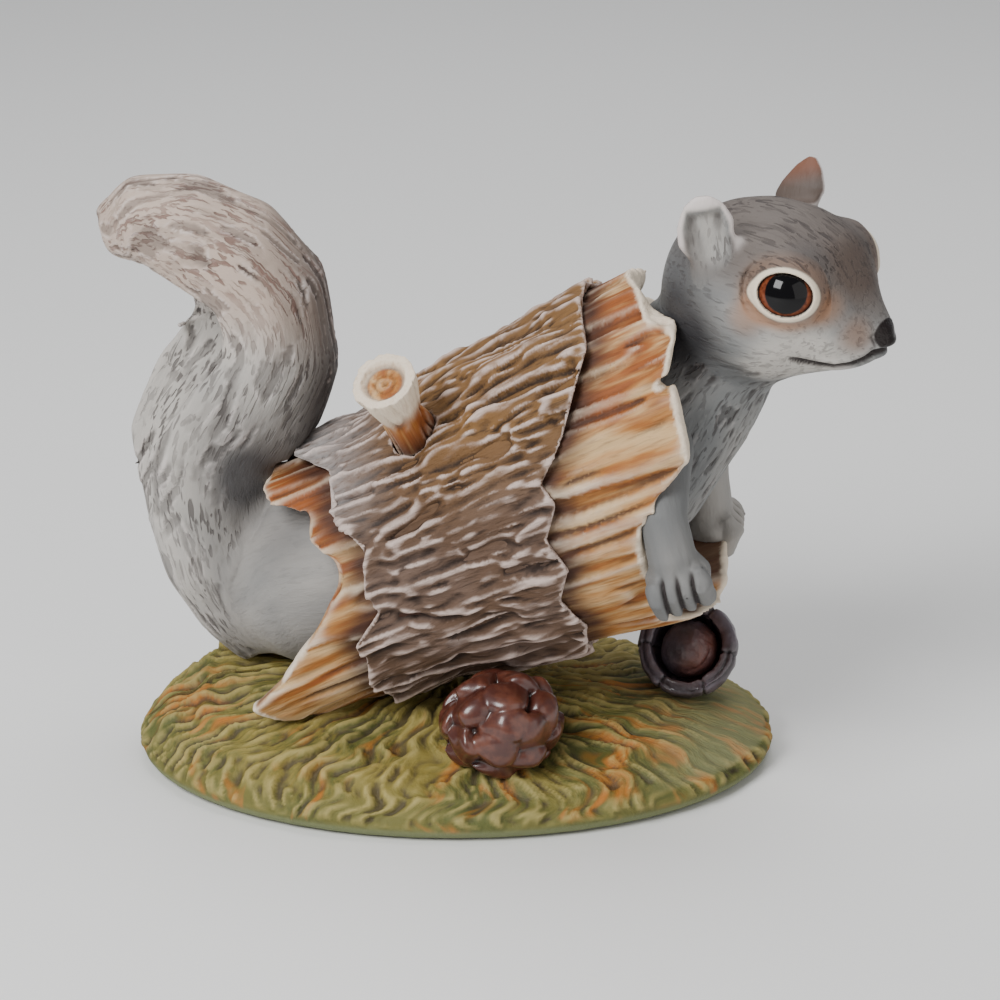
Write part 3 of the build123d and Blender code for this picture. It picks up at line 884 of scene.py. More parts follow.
@dataclass(frozen=True)
class Ear:
    """One leaf-shaped ear. Its shares run from the root up to the tip."""

    root: Triple
    rise: Triple
    across: Triple
    inward: Triple
    turn: float = 0.0
    tall: float = 1.0
    lean: float = 0.0
    height: float = 15.0
    half_width: float = 5.5
    half_depth: float = 2.5
    cup_depth: float = 1.7
    up_shares: Sequence[float] = (-0.30, 0.00, 0.30, 0.60, 0.85, 1.00)
    width_shares: Sequence[float] = (0.50, 0.85, 1.00, 0.86, 0.52, 0.14)
    depth_shares: Sequence[float] = (0.80, 0.95, 0.90, 0.70, 0.50, 0.25)
    fuller_shares: Sequence[float] = (1.00, 1.00, 1.02, 1.14, 1.35, 1.80)

    def own_frame(self) -> Frame:
        """The ear's frame: across, up and in towards the skull's middle."""
        rise = unit(self.rise)
        across = unit(self.across - rise * (rise @ np.asarray(self.across)))
        inward = np.cross(rise, across)
        return Frame(self.root, across, rise, inward * np.sign(inward @ np.asarray(self.inward)))

    def shape(self, points: Array, normals: Array, mine: Array) -> Tuple[Array, ...]:
        """Rounds the ear's inner face, hollows its outer face and fills its leaf out.

        Args:
            points: places on the skin.
            normals: the skin's normals there.
            mine: 1 on this ear and 0 elsewhere.

        Returns:
            The new places, and the masks of the cup, the brim and the back.
        """
        own = self.own_frame()
        across, rise, inward = own.local(points).T
        share = rise / self.height
        half = self.half_width * np.interp(share, self.up_shares, self.width_shares)
        leaf = np.clip(np.abs(across) / half, 0.0, 1.0)
        wall = self.half_depth * np.interp(share, self.up_shares, self.depth_shares) * np.sqrt(1.0 - leaf**2)
        facing = normals @ np.asarray(self.inward)
        back = mine * ramp(facing, -0.15, 0.35)
        front = mine * ramp(-facing, 0.0, 0.5)
        edge = np.maximum(leaf, (rise - 6.0) / 8.6)
        cup = front * (1.0 - ramp(edge, 0.48, 0.86)) * ramp(rise, -1.0, 3.5)
        brim = mine * ramp(edge, 0.70, 0.92) * ramp(-facing, -0.5, 0.1)
        fuller = back * ramp(rise, 0.0, 2.5) * np.maximum(wall * 0.9 - inward, 0.0)
        inward = inward + fuller + self.cup_depth * cup
        across = across * (1.0 + mine * (np.interp(share, self.up_shares, self.fuller_shares) - 1.0))
        across = across + mine * self.lean * np.maximum(rise, 0.0)
        rise = rise * (1.0 + mine * (self.tall - 1.0) * ramp(rise, 0.0, 5.0))
        cos, sin = math.cos(self.turn), math.sin(self.turn)
        turned = np.stack([across * cos + inward * sin, rise, inward * cos - across * sin], axis=1)
        still = np.stack([across, rise, inward], axis=1)
        local = still + (mine * ramp(rise, -1.0, 4.0))[:, None] * (turned - still)
        places = np.where((mine > 0.01)[:, None], own.point(local), points)
        return places, cup, brim * ramp(rise, 2.0, 6.5), back


@dataclass
class Squirrel:
    """The squirrel: one modelled skin, parted at its luted joints."""

    mesh_width: float = 0.5
    swell: float = 0.4
    turn_in: float = 1.2
    paw_shift: float = 3.2
    crease_depth: float = 0.7
    finger_rows: Sequence[float] = (-2.7, 0.0, 2.7)
    flow_step: float = 37.0
    tail_course: Course = Course(
        (
            (-34.6, 8.0, 21.4), (-40.0, 8.0, 28.9), (-44.7, 8.0, 37.3), (-46.6, 8.0, 48.3),
            (-46.8, 8.0, 59.2), (-41.7, 8.0, 70.1), (-36.7, 8.0, 81.0), (-37.3, 8.0, 90.3),
            (-43.0, 8.0, 97.8), (-51.8, 8.0, 103.3), (-60.2, 8.0, 105.0), (-65.7, 8.0, 102.4),
        ),
        (-0.342, 0.940, 0.0),
    )
    torso_course: Course = Course(
        (
            (-39.5, 8.0, 26.7), (-35.4, 7.0, 29.8), (-28.7, 5.2, 34.5), (-17.0, 1.2, 38.4),
            (0.3, -2.3, 45.3), (20.2, -4.4, 53.2), (32.7, -5.7, 65.1), (38.1, -6.3, 71.3),
            (42.5, -7.3, 78.3), (47.4, -8.7, 85.5), (52.3, -10.1, 92.7),
        ),
        (-0.105, -0.995, 0.0),
    )
    head_course: Course = Course(
        (
            (41.2, -3.2, 99.5), (48.8, -7.9, 98.2), (55.6, -12.2, 97.2), (61.6, -15.9, 96.0),
            (66.3, -18.9, 94.6), (70.3, -21.3, 92.8), (77.5, -25.8, 92.2),
        ),
        (0.530, 0.848, 0.0),
    )
    right_arm: Course = Course(
        (
            (34.6, -19.7, 71.4), (34.6, -29.5, 67.6), (35.0, -35.1, 60.9), (36.4, -36.5, 54.5),
            (37.8, -35.7, 50.1),
        ),
        (0.904, -0.095, 0.416),
    )
    left_arm: Course = Course(
        ((43.0, 1.0, 70.0), (46.3, 4.6, 60.6), (48.1, 7.3, 52.7), (48.7, 8.9, 47.2), (49.3, 9.5, 43.1)),
        (0.904, -0.095, 0.416),
    )
    near_ear: Course = Course(((46.5, -23.7, 106.1), (43.8, -27.5, 120.4)), (0.997, 0.025, -0.073))
    far_ear: Course = Course(((62.0, 1.1, 106.1), (64.2, 5.2, 120.4)), (0.415, -0.907, -0.073))
    mouth: Sequence[Triple] = (
        (13.6, 12.6, -4.1), (14.8, 11.5, -4.7), (16.5, 9.3, -5.2), (19.6, 6.6, -5.8), (22.3, 5.1, -5.1),
        (24.6, 3.9, -3.7), (25.7, 3.4, -2.5), (26.6, 1.6, -2.3), (27.0, 0.0, -2.3),
    )
    nose_middle: Triple = (26.9, 0.0, 0.9)
    nose_sizes: Triple = (2.7, 4.4, 2.7)
    nostril: Sequence[Triple] = ((28.0, 1.5, 0.4), (27.4, 2.6, 0.9))
    lip_fold: Sequence[Triple] = ((26.0, 3.7, -0.9), (25.4, 4.2, 0.8), (25.9, 3.4, 2.0))
    tail_fold: Sequence[Triple] = (
        (-46.0, 2.5, 86.0), (-48.2, 0.5, 80.9), (-50.0, -1.5, 75.0), (-52.6, -4.0, 70.0), (-54.6, -5.2, 66.0),
        (-56.6, -4.4, 60.0), (-57.4, -3.2, 55.0), (-57.6, -1.5, 49.0),
    )
    saddle: Triple = (-31.7, -1.0, 60.0)
    ear_corner: Triple = (51.5, -24.6, 110.4)
    # A line through the hollow where the tail meets the rump, darkened there with painted shade.
    hollow: Sequence[Triple] = ((-40.0, -4.0, 60.0), (-38.0, -8.0, 55.0), (-35.0, -11.0, 50.0))
    eyes: Sequence[Eye] = (Eye(1, 2.1), Eye(-1, 1.15))
    ears: Sequence[Ear] = (
        Ear(
            (62.0, 1.1, 106.1), (0.146472, 0.272107, 0.951054), (0.412853, -0.903459, -0.072517),
            (-0.843511, -0.405191, 0.245839), 0.5, 0.87, 0.17,
            fuller_shares=(1.00, 1.00, 1.00, 0.96, 0.96, 1.00),
        ),
        Ear(
            (46.5, -23.7, 106.1), (-0.180359, -0.250932, 0.951054), (0.99703, 0.025082, -0.072811),
            (-0.005775, 0.967164, 0.254088),
        ),
    )

    def courses(self) -> Dict[str, Course]:
        """The middle line that each piece's fur follows."""
        return {
            "torso": self.torso_course,
            "tail": self.tail_course,
            "head": self.head_course,
            "left_ear": self.far_ear,
            "right_ear": self.near_ear,
            "left_forelimb": self.left_arm,
            "right_forelimb": self.right_arm,
        }

    def build(self) -> None:
        """Models, paints and parts the squirrel."""
        self.names = list(self.courses())
        self.clay = Clay("squirrel_skin", self.names + ["left_eye", "right_eye"], self.mesh_width, self.swell)
        self.owner = np.zeros(0, dtype=int)
        self.own()
        self.settle()
        self.clay.refine(
            [
                (HEAD.point((12.5, -13.5, 8.5)), 9.0),
                (HEAD.point((12.5, 13.5, 8.5)), 9.0),
                (HEAD.point((22.5, 0.0, -2.0)), 10.0),
                ((40.5, -36.5, 48.0), 8.5),
                ((49.5, 9.5, 41.5), 8.0),
            ]
        )
        self.own()
        self.place()
        self.carve_ears()
        self.carve_eyes()
        self.carve_mouth()
        self.carve_paws()
        self.carve_fur()
        self.tint()
        self.clay.hold_in()
        self.part()

    def own(self) -> None:
        """Finds which CAD node each new place belongs to."""
        fresh = self.clay.co[len(self.owner) :]
        gaps = [gap_to(name, fresh) for name in self.names]
        self.owner = np.concatenate([self.owner, np.argmin(np.array(gaps), axis=0)])

    def mask(self, *names: str, rounds: int = 8) -> Array:
        """1 on the named pieces and 0 elsewhere, softened over their joints."""
        hard = np.isin(self.owner, [self.names.index(name) for name in names]).astype(float)
        return self.clay.averaged(rounds, 0.5, hard)

    def settle(self) -> None:
        """Smooths the facets away, most over the luted joints, and moves the near paw out."""
        clay = self.clay
        fine = self.mask("left_ear", "right_ear", "left_forelimb", "right_forelimb", rounds=6)
        clay.smooth(10, 0.15 + 0.35 * (1.0 - fine))
        clay.smooth(46, 0.5 * (1.0 - fine))
        for name, rounds in (("tail", 200), ("head", 140)):
            soft = self.mask(name, rounds=rounds)
            clay.smooth(rounds, 0.5 * ramp(4.0 * soft * (1.0 - soft), 0.2, 0.7))
        clay.push(-self.swell * 0.9)
        rear = self.mask("tail", "torso", rounds=4)
        pull = 0.97 * rear * bell(distance(clay.co, self.saddle), 9.5)
        clay.co = clay.co + (self.saddle - clay.co) * pull[:, None]
        clay.sense()
        clay.smooth(40, 0.5 * bell(distance(clay.co, self.saddle), 7.0))
        arm = self.mask("right_forelimb", rounds=40)
        clay.co = clay.co + np.outer(ramp(arm, 0.3, 0.9) * self.paw_shift, LOG_WAY)
        clay.sense()

    def place(self) -> None:
        """Works out the flow of the fur and the places seen from the head."""
        self.flow = np.zeros((self.clay.count, 3))
        for index, course in enumerate(self.courses().values()):
            mine = self.owner == index
            self.flow[mine] = course.locate(self.clay.co[mine]) + index * self.flow_step
        self.head = HEAD.local(self.clay.co)

    def carve_ears(self) -> None:
        """Shapes both ears as leaves that are hollow on their outer side."""
        clay = self.clay
        self.cup, self.brim, self.back = np.zeros((3, clay.count))
        for ear, name in zip(self.ears, ("left_ear", "right_ear")):
            clay.co, cup, brim, back = ear.shape(clay.co, clay.normal, self.mask(name, rounds=6))
            clay.sense()
            self.cup = np.maximum(self.cup, cup)
            self.brim = np.maximum(self.brim, brim)
            self.back = np.maximum(self.back, back)
        for ear in self.ears:
            across, rise, inward = ear.own_frame().local(clay.co).T
            foot = ramp(6.0 - rise, 0.0, 4.5) * bell(across, 8.0) * bell(rise, 8.0)
            clay.smooth(220, 0.5 * foot * (np.abs(inward) < 7.0))
        clay.smooth(260, 0.5 * bell(distance(clay.co, self.ear_corner), 3.4))
        clay.smooth(3, 0.35 * self.mask("left_ear", "right_ear", rounds=3))

    def carve_eyes(self) -> None:
        """Opens both eyes' lids."""
        clay = self.clay
        self.ring = np.zeros(clay.count)
        self.lid_gap = np.full(clay.count, FAR)
        for eye in self.eyes:
            clay.co, ring, share = eye.open_lids(clay.co)
            self.ring = np.maximum(self.ring, ring)
            self.lid_gap = np.minimum(self.lid_gap, share)
        clay.sense()
        clay.smooth(8, np.where((self.lid_gap < 2.8) & (self.lid_gap > 1.2), 0.4, 0.0))
        self.ring *= self.mask("head", rounds=2)

    def carve_mouth(self) -> None:
        """Cuts the mouth, the nose and the folds round them, alike on both sides."""
        head = self.head * np.where(self.head < 0, (1.0, -1.0, 1.0), 1.0)
        ahead, _, up = head.T
        near = self.mask("head") > 0.5
        gap = apart(head, self.mouth)
        below = near * ramp(-(up + 5.4), -0.2, 0.6)
        nose_gap = np.sqrt((((head - self.nose_middle) / self.nose_sizes) ** 2).sum(axis=1))
        self.nose = near * (1.0 - ramp(nose_gap, 0.94, 1.04))
        self.cut = near * bell(gap, 0.7) * (1.2 * ramp(ahead, 12.8, 15.5))
        self.cut += near * bell(apart(head, self.lip_fold), 0.4) * 0.4
        self.cut += near * bell(apart(head, self.nostril), 0.5) * 0.55
        # Painted highlight along the lower lip, laid later as pale paint.
        self.lip = below * bell(gap - 1.3, 0.5) * ramp(ahead, 18.0, 22.0)
        lip = near * bell(gap - 1.5, 0.7) * 0.4 * ramp(ahead, 15.0, 20.0)
        chin = below * bell(gap - 3.4, 1.3) * 0.4 * ramp(ahead, 14.0, 19.0)
        self.clay.push(lip + self.nose * 0.2 - self.cut - chin)

    def carve_paws(self) -> None:
        """Parts the fingers of both paws."""
        clay = self.clay
        for name, course, row, curl, shift in (
            ("right_forelimb", self.right_arm, LOG_FRAME.first, LOG_FRAME.third, self.paw_shift),
            ("left_forelimb", self.left_arm, LOG_FRAME.third, LOG_FRAME.first, 0.0),
        ):
            mine = self.mask(name, rounds=3)
            end = course.points[-1] + shift * LOG_WAY
            ahead = unit(end - shift * LOG_WAY - course.points[-2])
            offset = clay.co - end
            down = offset @ ahead
            side = offset @ np.asarray(row) + 0.22 * down
            front = ramp(offset @ np.asarray(curl), -2.5, 0.5) * ramp(down, -4.5, -0.5)
            grooves = np.max([bell(side - middle, 0.5) for middle in self.finger_rows], axis=0)
            knuckle = 0.35 * bell(down + 0.5, 1.6)
            groove = mine * front * grooves
            clay.push(mine * front * (0.35 + knuckle) - 1.05 * groove)
            self.cut = np.maximum(self.cut, 0.55 * groove)

    def carve_fur(self) -> None:
        """Cuts locks into the tail, a ruff into the throat and light combing elsewhere."""
        clay = self.clay
        tail = self.mask("tail")
        torso = self.mask("torso")
        self.head = HEAD.local(clay.co)
        x, y, z = clay.co.T
        warp = Grain(5).warp(self.flow * (0.10, 0.14, 0.14))
        locks = Grain(11).dashes(self.flow * (0.17, 0.62, 0.62) + warp * (0.3, 0.9, 0.9), 0.12, 0.5)
        fine = Grain(12).dashes(self.flow * (0.22, 0.75, 0.75) + warp * 0.4, 0.2, 0.55)
        swell = Grain(13).at(self.flow * (0.09, 0.18, 0.18))
        flap = tail * ramp(-x, 50.0, 55.0) * ramp(z, 40.0, 50.0) * ramp(88.0 - z, 0.0, 8.0)
        comb_place = np.stack([(z * 0.88 + x * 0.47) * 0.09, (x * 0.88 - z * 0.47) * 0.66, y * 0.12], axis=1)
        comb = Grain(14).dashes(comb_place + warp * 0.3, -0.05, 0.45)
        throat = torso * ramp(x, 36.0, 46.0) * ramp(z, 50.0, 62.0)
        under = self.mask("head") * ramp(-self.head[:, 2], 6.0, 10.0) * ramp(self.head[:, 0], -8.0, 2.0)
        ruff = np.maximum(throat, under)
        crease = tail * bell(apart(clay.co, self.tail_fold), 1.3) * ramp(84.0 - z, 0.0, 5.0)
        self.calm = ramp(self.mask("tail", rounds=150), 0.55, 0.98)
        self.calm *= 1.0 - 0.8 * bell(apart(clay.co, self.hollow), 7.0)
        bush = tail * self.calm * (1.0 - ramp(x, -42.0, -34.0) * ramp(70.0 - z, 0.0, 10.0))
        self.locks = locks * (bush * 0.26 * (1.0 - flap) + 0.15 * ruff)
        self.locks += fine * (bush * 0.16 * (1.0 - flap) + torso * 0.03 + 0.30 * ruff) + flap * 0.34 * comb
        clay.push(swell * (tail * 0.45 + torso * 0.05) - self.locks - self.crease_depth * crease)
        self.locks = np.maximum(self.locks, 0.36 * crease)

    def dab(self, middle: Triple, radius: float) -> Array:
        """An airbrushed dab on both sides of the head."""
        side = self.head * np.where(self.head[:, 1:2] > 0, (1.0, -1.0, 1.0), 1.0)
        return 1.0 - ramp(distance(side, middle), radius * 0.2, radius)

    def tint(self) -> None:
        """Lays the paint's masks on the skin, with painted shade in the dark grey and a painted highlight on
        the lower lip.
        """
        clay = self.clay
        x, _, z = clay.co.T
        self.head = HEAD.local(clay.co)
        head, torso = self.mask("head", rounds=30), self.mask("torso", rounds=30)
        skull = self.mask("head", "left_ear", "right_ear", rounds=30)
        tail = self.mask("tail", rounds=150)
        ahead, side, up = self.head.T
        bare = 1.0 - self.ring
        rump = 1.0 - ramp(x, -20.0, 10.0)

        crown = skull * ramp(up + 0.10 * ahead, 4.0, 13.0) * 0.78
        crown *= 1.0 - ramp(z, 111.0, 114.0) * (1.0 - head)
        bridge = 0.4 * head * ramp(ahead, 10.0, 24.0) * ramp(up, 0.5, 4.5)
        crown += bridge * (1.0 - ramp(np.abs(side), 4.0, 9.0))
        crown = (crown * (1.0 - self.brim) + 0.9 * self.back) * bare * (1.0 - self.cup)

        # Dark grey airbrush: the fur's own behind the cheek, by the eye and nose and on the forelimbs, and
        # painted shade under the head, down the tail and in the hollow by the rump.
        smoke = 0.95 * self.dab((-7.0, -15.0, -3.0), 14.0) + 0.5 * self.dab((-10.0, -8.0, 8.0), 12.0)
        # Painted shade under the head.
        smoke += 0.25 * head * ramp(-up, 7.5, 12.0) * ramp(ahead, -8.0, 4.0)
        smoke += 0.35 * self.dab((14.0, -9.0, 15.0), 6.0) + 0.3 * self.dab((23.3, -6.2, 1.0), 3.6)
        smoke *= 1.0 - 0.6 * ramp(side, 0.0, 8.0)
        smoke += torso * 0.2 * rump
        # Painted shade: the tail darker down its right side and towards the bottom.
        shaded_right_edge = 0.7 * ramp(x - (92.0 - z) * 0.14, -38.0, -23.0)
        smoke += tail * (shaded_right_edge + 0.5 * ramp(88.0 - z, 0.0, 26.0) * ramp(x, -56.0, -42.0))
        # Painted shade in the hollow where the tail meets the rump.
        smoke += 0.55 * bell(apart(clay.co, self.hollow), 7.0)
        # Painted shade on the neck below the head.
        smoke += torso * 0.15 * ramp(x, 20.0, 40.0) * (1.0 - ramp(x, 44.0, 52.0))
        smoke += 0.3 * self.mask("left_forelimb", "right_forelimb")
        smoke *= bare * (1.0 - 0.8 * np.maximum(self.cup, self.brim))

        low = ramp(-(up - 6.0) - 0.25 * (ahead - 11.0), -4.0, 4.0)
        warm = bell(self.lid_gap - 1.42, 0.34) * (0.25 + 0.55 * low)
        warm += 0.5 * self.dab((18.0, -9.5, 6.0), 5.0) + 0.45 * self.dab((6.5, -17.0, 3.5), 5.0)
        warm += 0.35 * self.dab((23.0, -6.2, 1.0), 5.0)
        warm *= (1.0 - 0.6 * ramp(side, 2.0, 8.0)) * bare * head

        rust = self.back * ramp(z - 0.35 * (x - 62.0), 112.5, 116.5) * self.mask("left_ear", rounds=3) * 0.5

        pale = 0.2 + 0.62 * tail + 0.95 * self.dab((15.0, -12.0, -5.0), 13.0) + 0.9 * self.brim
        pale += 0.35 * self.cup + 0.5 * self.mask("left_forelimb") + 0.34 * torso * rump

        strokes = tail * 0.95 * self.calm * (1.0 - 0.8 * ramp(x, -42.0, -32.0) * ramp(66.0 - z, 0.0, 10.0))
        strokes += torso * (0.14 + 0.75 * ramp(x, 34.0, 46.0)) + head * (0.45 + 0.5 * ramp(up, 7.0, 13.0))
        strokes = (strokes + 0.7 * self.cup) * bare * (1.0 - self.brim)

        sunk = -clay.raised(6)
        groove = ramp(self.locks, 0.06, 0.32) * 0.5 + ramp(self.cut, 0.08, 0.45) * 0.97
        groove += ramp(sunk, 0.04, 0.16) * 0.3 + bell(self.lid_gap - 1.03, 0.05) * 0.9
        groove += 0.5 * self.cup * ramp(Grain(16).at(self.flow * (0.10, 0.5, 0.5)), 0.0, 0.5)
        groove *= 1.0 - self.ring * (self.lid_gap > 1.08)

        ridge = ramp(-sunk, 0.03, 0.12) * 0.45 * (tail * self.calm + 0.4 * torso * (1.0 - tail))
        # Pale on the ears' rims, and a painted highlight along the lower lip.
        ridge += 0.95 * self.brim + 0.5 * self.lip

        clay.keep(
            flow=self.flow,
            crown=np.clip(crown, 0.0, 1.0),
            smoke=np.clip(smoke, 0.0, 0.92),
            warm=np.clip(warm, 0.0, 0.75),
            rust=np.clip(rust, 0.0, 0.9),
            pale=np.clip(pale, 0.0, 1.0),
            rosy=tail * ramp(z + 0.25 * (x + 50.0), 82.0, 98.0),
            strokes=np.clip(strokes, 0.0, 1.0),
            groove=np.clip(groove, 0.0, 0.95),
            ridge=np.clip(ridge, 0.0, 1.0) * (1.0 - self.nose),
            ring=self.ring * (self.lid_gap > 1.0),
            nose=self.nose,
        )

    def part(self) -> None:
        """Parts the skin at the luted joints into closed pieces, their rims turned in."""
        material = FurPaint().material()
        self.clay.keep(skin_normal=self.clay.normal)
        whole = self.clay.object.data
        owners = [self.owner[polygon.vertices[0]] for polygon in whole.polygons]
        for index, (name, course) in enumerate(self.courses().items()):
            bm = bmesh.new()
            bm.from_mesh(whole)
            bm.faces.ensure_lookup_table()
            others = [bm.faces[number] for number, owner in enumerate(owners) if owner != index]
            bmesh.ops.delete(bm, geom=others, context="FACES")
            layer = bm.verts.layers.float_vector["skin_normal"]
            rim = [edge for edge in bm.edges if edge.is_boundary]
            for vert in bmesh.ops.extrude_edge_only(bm, edges=rim)["geom"]:
                if isinstance(vert, bmesh.types.BMVert):
                    vert.co -= Vector(vert[layer]) * self.turn_in * MM
            bmesh.ops.holes_fill(bm, edges=[edge for edge in bm.edges if edge.is_boundary])
            mesh = bpy.data.meshes.new(name + "_fur")
            bm.to_mesh(mesh)
            bm.free()
            flow = course.locate(vectors(mesh.vertices, "co") / MM) + index * self.flow_step
            mesh.attributes["flow"].data.foreach_set("vector", flow.astype(np.float32).ravel())
            for polygon in mesh.polygons:
                polygon.use_smooth = True
            normals = vectors(mesh.attributes["skin_normal"].data, "vector")
            mesh.normals_split_custom_set_from_vertices(normals.tolist())
            dress(linked(name + "_fur", mesh), [name], material)
        bpy.data.objects.remove(self.clay.object)
        glaze = LensGlaze().material()
        for eye in self.eyes:
            eye.lens(glaze)


@dataclass
class Log:
    """The hollow log: split wood, its bark and the broken branch."""

    wood_mesh: float = 0.63
    bark_mesh: float = 0.53
    stub_mesh: float = 0.4
    stub_foot: Triple = (-6.5, -14.0, 68.9)
    stub_way: Triple = (-0.306375, -0.542532, 0.782172)

    def build(self) -> None:
        """Models and paints the three pieces."""
        self.wood()
        self.bark()
        self.stub()

    def wood(self) -> None:
        """Flutes the split wood along the log and rounds its torn ends."""
        clay = Clay("log_wood_split", ["log_wood"], self.wood_mesh)
        clay.smooth(8, 0.4)
        grain = LOG_FRAME.local(clay.co)
        along, up, near = grain.T
        drawn = ramp(along, 46.0, 68.0) * (0.8 + 2.9 * ramp(near, -6.0, 12.0))
        clay.co = clay.co + np.outer(drawn, LOG_WAY)
        clay.sense()
        out = LOG_FRAME.outward(clay.co, clay.normal)
        end = np.maximum(ramp(along, 50.0, 60.0), ramp(-along, 0.0, 7.0))
        soft = clay.averaged(5, 0.5, ramp(np.abs(clay.normal @ LOG_WAY), 0.3, 0.8) * end)
        warp = Grain(21).warp(grain * (0.035, 0.1, 0.1))
        flutes = Grain(22).at(grain * (0.030, 0.25, 0.25) + warp * 0.9)
        lines = Grain(23).dashes(grain * (0.045, 0.50, 0.50) + warp * 0.8, 0.05, 0.4)
        relief = np.where(out > 0.2, 0.5 * flutes - 0.75 * lines, 0.3 * flutes - 0.3 * lines)
        clay.push(relief * (1.0 - 0.6 * soft) + 0.45 * ramp(soft, 0.15, 0.6))
        clay.smooth(2, 0.35)
        gap = gap_to("bark_jacket", clay.co) / MM
        raised = clay.raised(10)
        clay.keep(
            grain=grain,
            inside=ramp(-out, 0.1, 0.6) * 0.8,
            warm=ramp(up - 0.25 * along, -4.0, 14.0),
            shade=(1.0 - ramp(gap, 0.7, 6.5)) * 0.9,
            rim=np.clip(ramp(soft, 0.12, 0.5) * 1.1, 0.0, 1.0),
            groove=ramp(-raised, 0.02, 0.28) * 0.9,
            ridge=ramp(raised, 0.02, 0.35),
        )
        clay.finish(WoodPaint().material("wood_paint"))

    def bark(self) -> None:
        """Raises long bark ridges with dark crevices between them."""
        clay = Clay("bark_jacket_relief", ["bark_jacket"], self.bark_mesh)
        grain = LOG_FRAME.local(clay.co)
        along, up, _ = grain.T
        out = ramp(LOG_FRAME.outward(clay.co, clay.normal), 0.1, 0.6)
        warp = Grain(31).warp(grain * (0.09, 0.12, 0.12))
        place = grain * (0.11, 0.58, 0.58) + warp * (0.35, 0.6, 0.6)
        ridges = Grain(32).at(place) + 0.45 * Grain(33).at(place * (1.9, 1.8, 1.8))
        crack = Grain(34).dashes(grain * (0.08, 0.42, 0.42) + warp * 0.5, 0.25, 0.55)
        flake = Grain(35).at(grain * (0.06, 0.16, 0.16))
        clay.push(out * (ridges - 0.75 * crack + 0.45 * flake - 0.05))
        clay.smooth(1, 0.25)
        clay.keep(
            grain=grain,
            groove=ramp(-clay.raised(14), 0.02, 0.34) * 0.9,
            ridge=ramp(clay.raised(10), -0.12, 0.34),
            warm=ramp(up, 6.0, 24.0) * ramp(along, 12.0, 34.0),
            frost=ramp(-along, -26.0, 4.0) * ramp(up, 10.0, 22.0) * 0.75,
        )
        clay.finish(BarkPaint().material())

    def stub(self) -> None:
        """Flutes the branch and rings its cut end."""
        clay = Clay("branch_stub_carved", ["branch_stub"], self.stub_mesh)
        clay.smooth(4, 0.3)
        own = upright(self.stub_foot, self.stub_way)
        grain = own.local(clay.co)
        along = grain[:, 0]
        radius = np.hypot(grain[:, 1], grain[:, 2])
        lines = Grain(41).lines(grain * (0.05, 0.42, 0.42), 0.14)
        top = ramp(clay.normal @ own.first, 0.5, 0.8) * ramp(along, 10.0, 14.0)
        rings = 0.5 + 0.5 * np.cos(radius * 3.4 + Grain(42).at(grain * 0.5) * 0.8)
        flutes = 0.3 * Grain(43).at(grain * (0.08, 0.4, 0.4)) - 0.5 * lines
        clay.push((1.0 - top) * flutes - top * 0.25 * rings)
        raised = clay.raised(6)
        clay.keep(
            grain=grain,
            inside=np.zeros(clay.count),
            warm=1.0 - ramp(along, 3.0, 12.0),
            shade=(1.0 - ramp(along, 1.5, 10.0)) * 0.9,
            rim=ramp(radius, 3.0, 4.2) * ramp(along, 10.0, 15.0) * 0.9,
            groove=ramp(-raised, 0.02, 0.14) * 0.9,
            ridge=ramp(raised, 0.02, 0.2),
        )
        clay.finish(WoodPaint().material("stub_paint"))


@dataclass
class Mound:
    """The grass mound under the log."""

    mesh_width: float = 0.6
    half_length: float = 66.0
    half_depth: float = 41.0
    lip: float = 2.4
    turn_length: float = 54.0
    down_length: float = 52.0

    def build(self) -> None:
        """Models and paints the grass."""
        clay = Clay("base_mound_grass", ["base_mound"], self.mesh_width)
        clay.smooth(6, 0.4)
        x, y, z = clay.co.T
        reach = np.hypot(x / self.half_length, y / self.half_depth)
        turn = np.arctan2(y / self.half_depth, x / self.half_length)
        sway = Grain(51).warp(clay.co * 0.055)[:, 0]
        down = self.down_length * reach - 1.1 * z
        wave = np.sin(down * 0.40 + 3.5 * sway + 3.0 * Grain(53).at(clay.co * 0.07))
        around = turn * self.turn_length + 1.2 * wave + 4.0 * sway
        strand = np.stack([around * 0.52, down * 0.15, 0.0 * down], axis=1)
        lobe = Grain(54).at(strand) + 0.35 * Grain(55).at(strand * (1.9, 1.7, 1.0))
        gully = Grain(56).dashes(np.stack([around * 0.58, down * 0.16, 0.0 * down + 7.0], axis=1), 0.05, 0.45)
        open_top = ramp(clay.normal[:, 2], -0.35, 0.05) * ramp(z, self.lip, self.lip + 1.8)
        plain = ramp(x, 30.0, 50.0) * ramp(clay.normal[:, 2], 0.6, 0.9)
        height = 0.75 * lobe - 0.75 * gully + 0.5 * Grain(52).at(clay.co * 0.16) + 0.1
        clay.push(open_top * (1.0 - 0.7 * plain) * height)
        clay.smooth(1, 0.3)
        raised = clay.raised(9)
        clay.keep(
            grain=np.stack([around, down, z], axis=1),
            groove=open_top * ramp(-raised, 0.03, 0.28) * 0.8,
            ridge=open_top * ramp(raised, 0.02, 0.3) * 0.7,
            low=(1.0 - ramp(z, 4.0, 11.0)) * 0.7,
            plain=plain * 0.6,
            lip=1.0 - ramp(z, self.lip - 0.6, self.lip + 0.8),
        )
        clay.finish(GrassPaint().material())


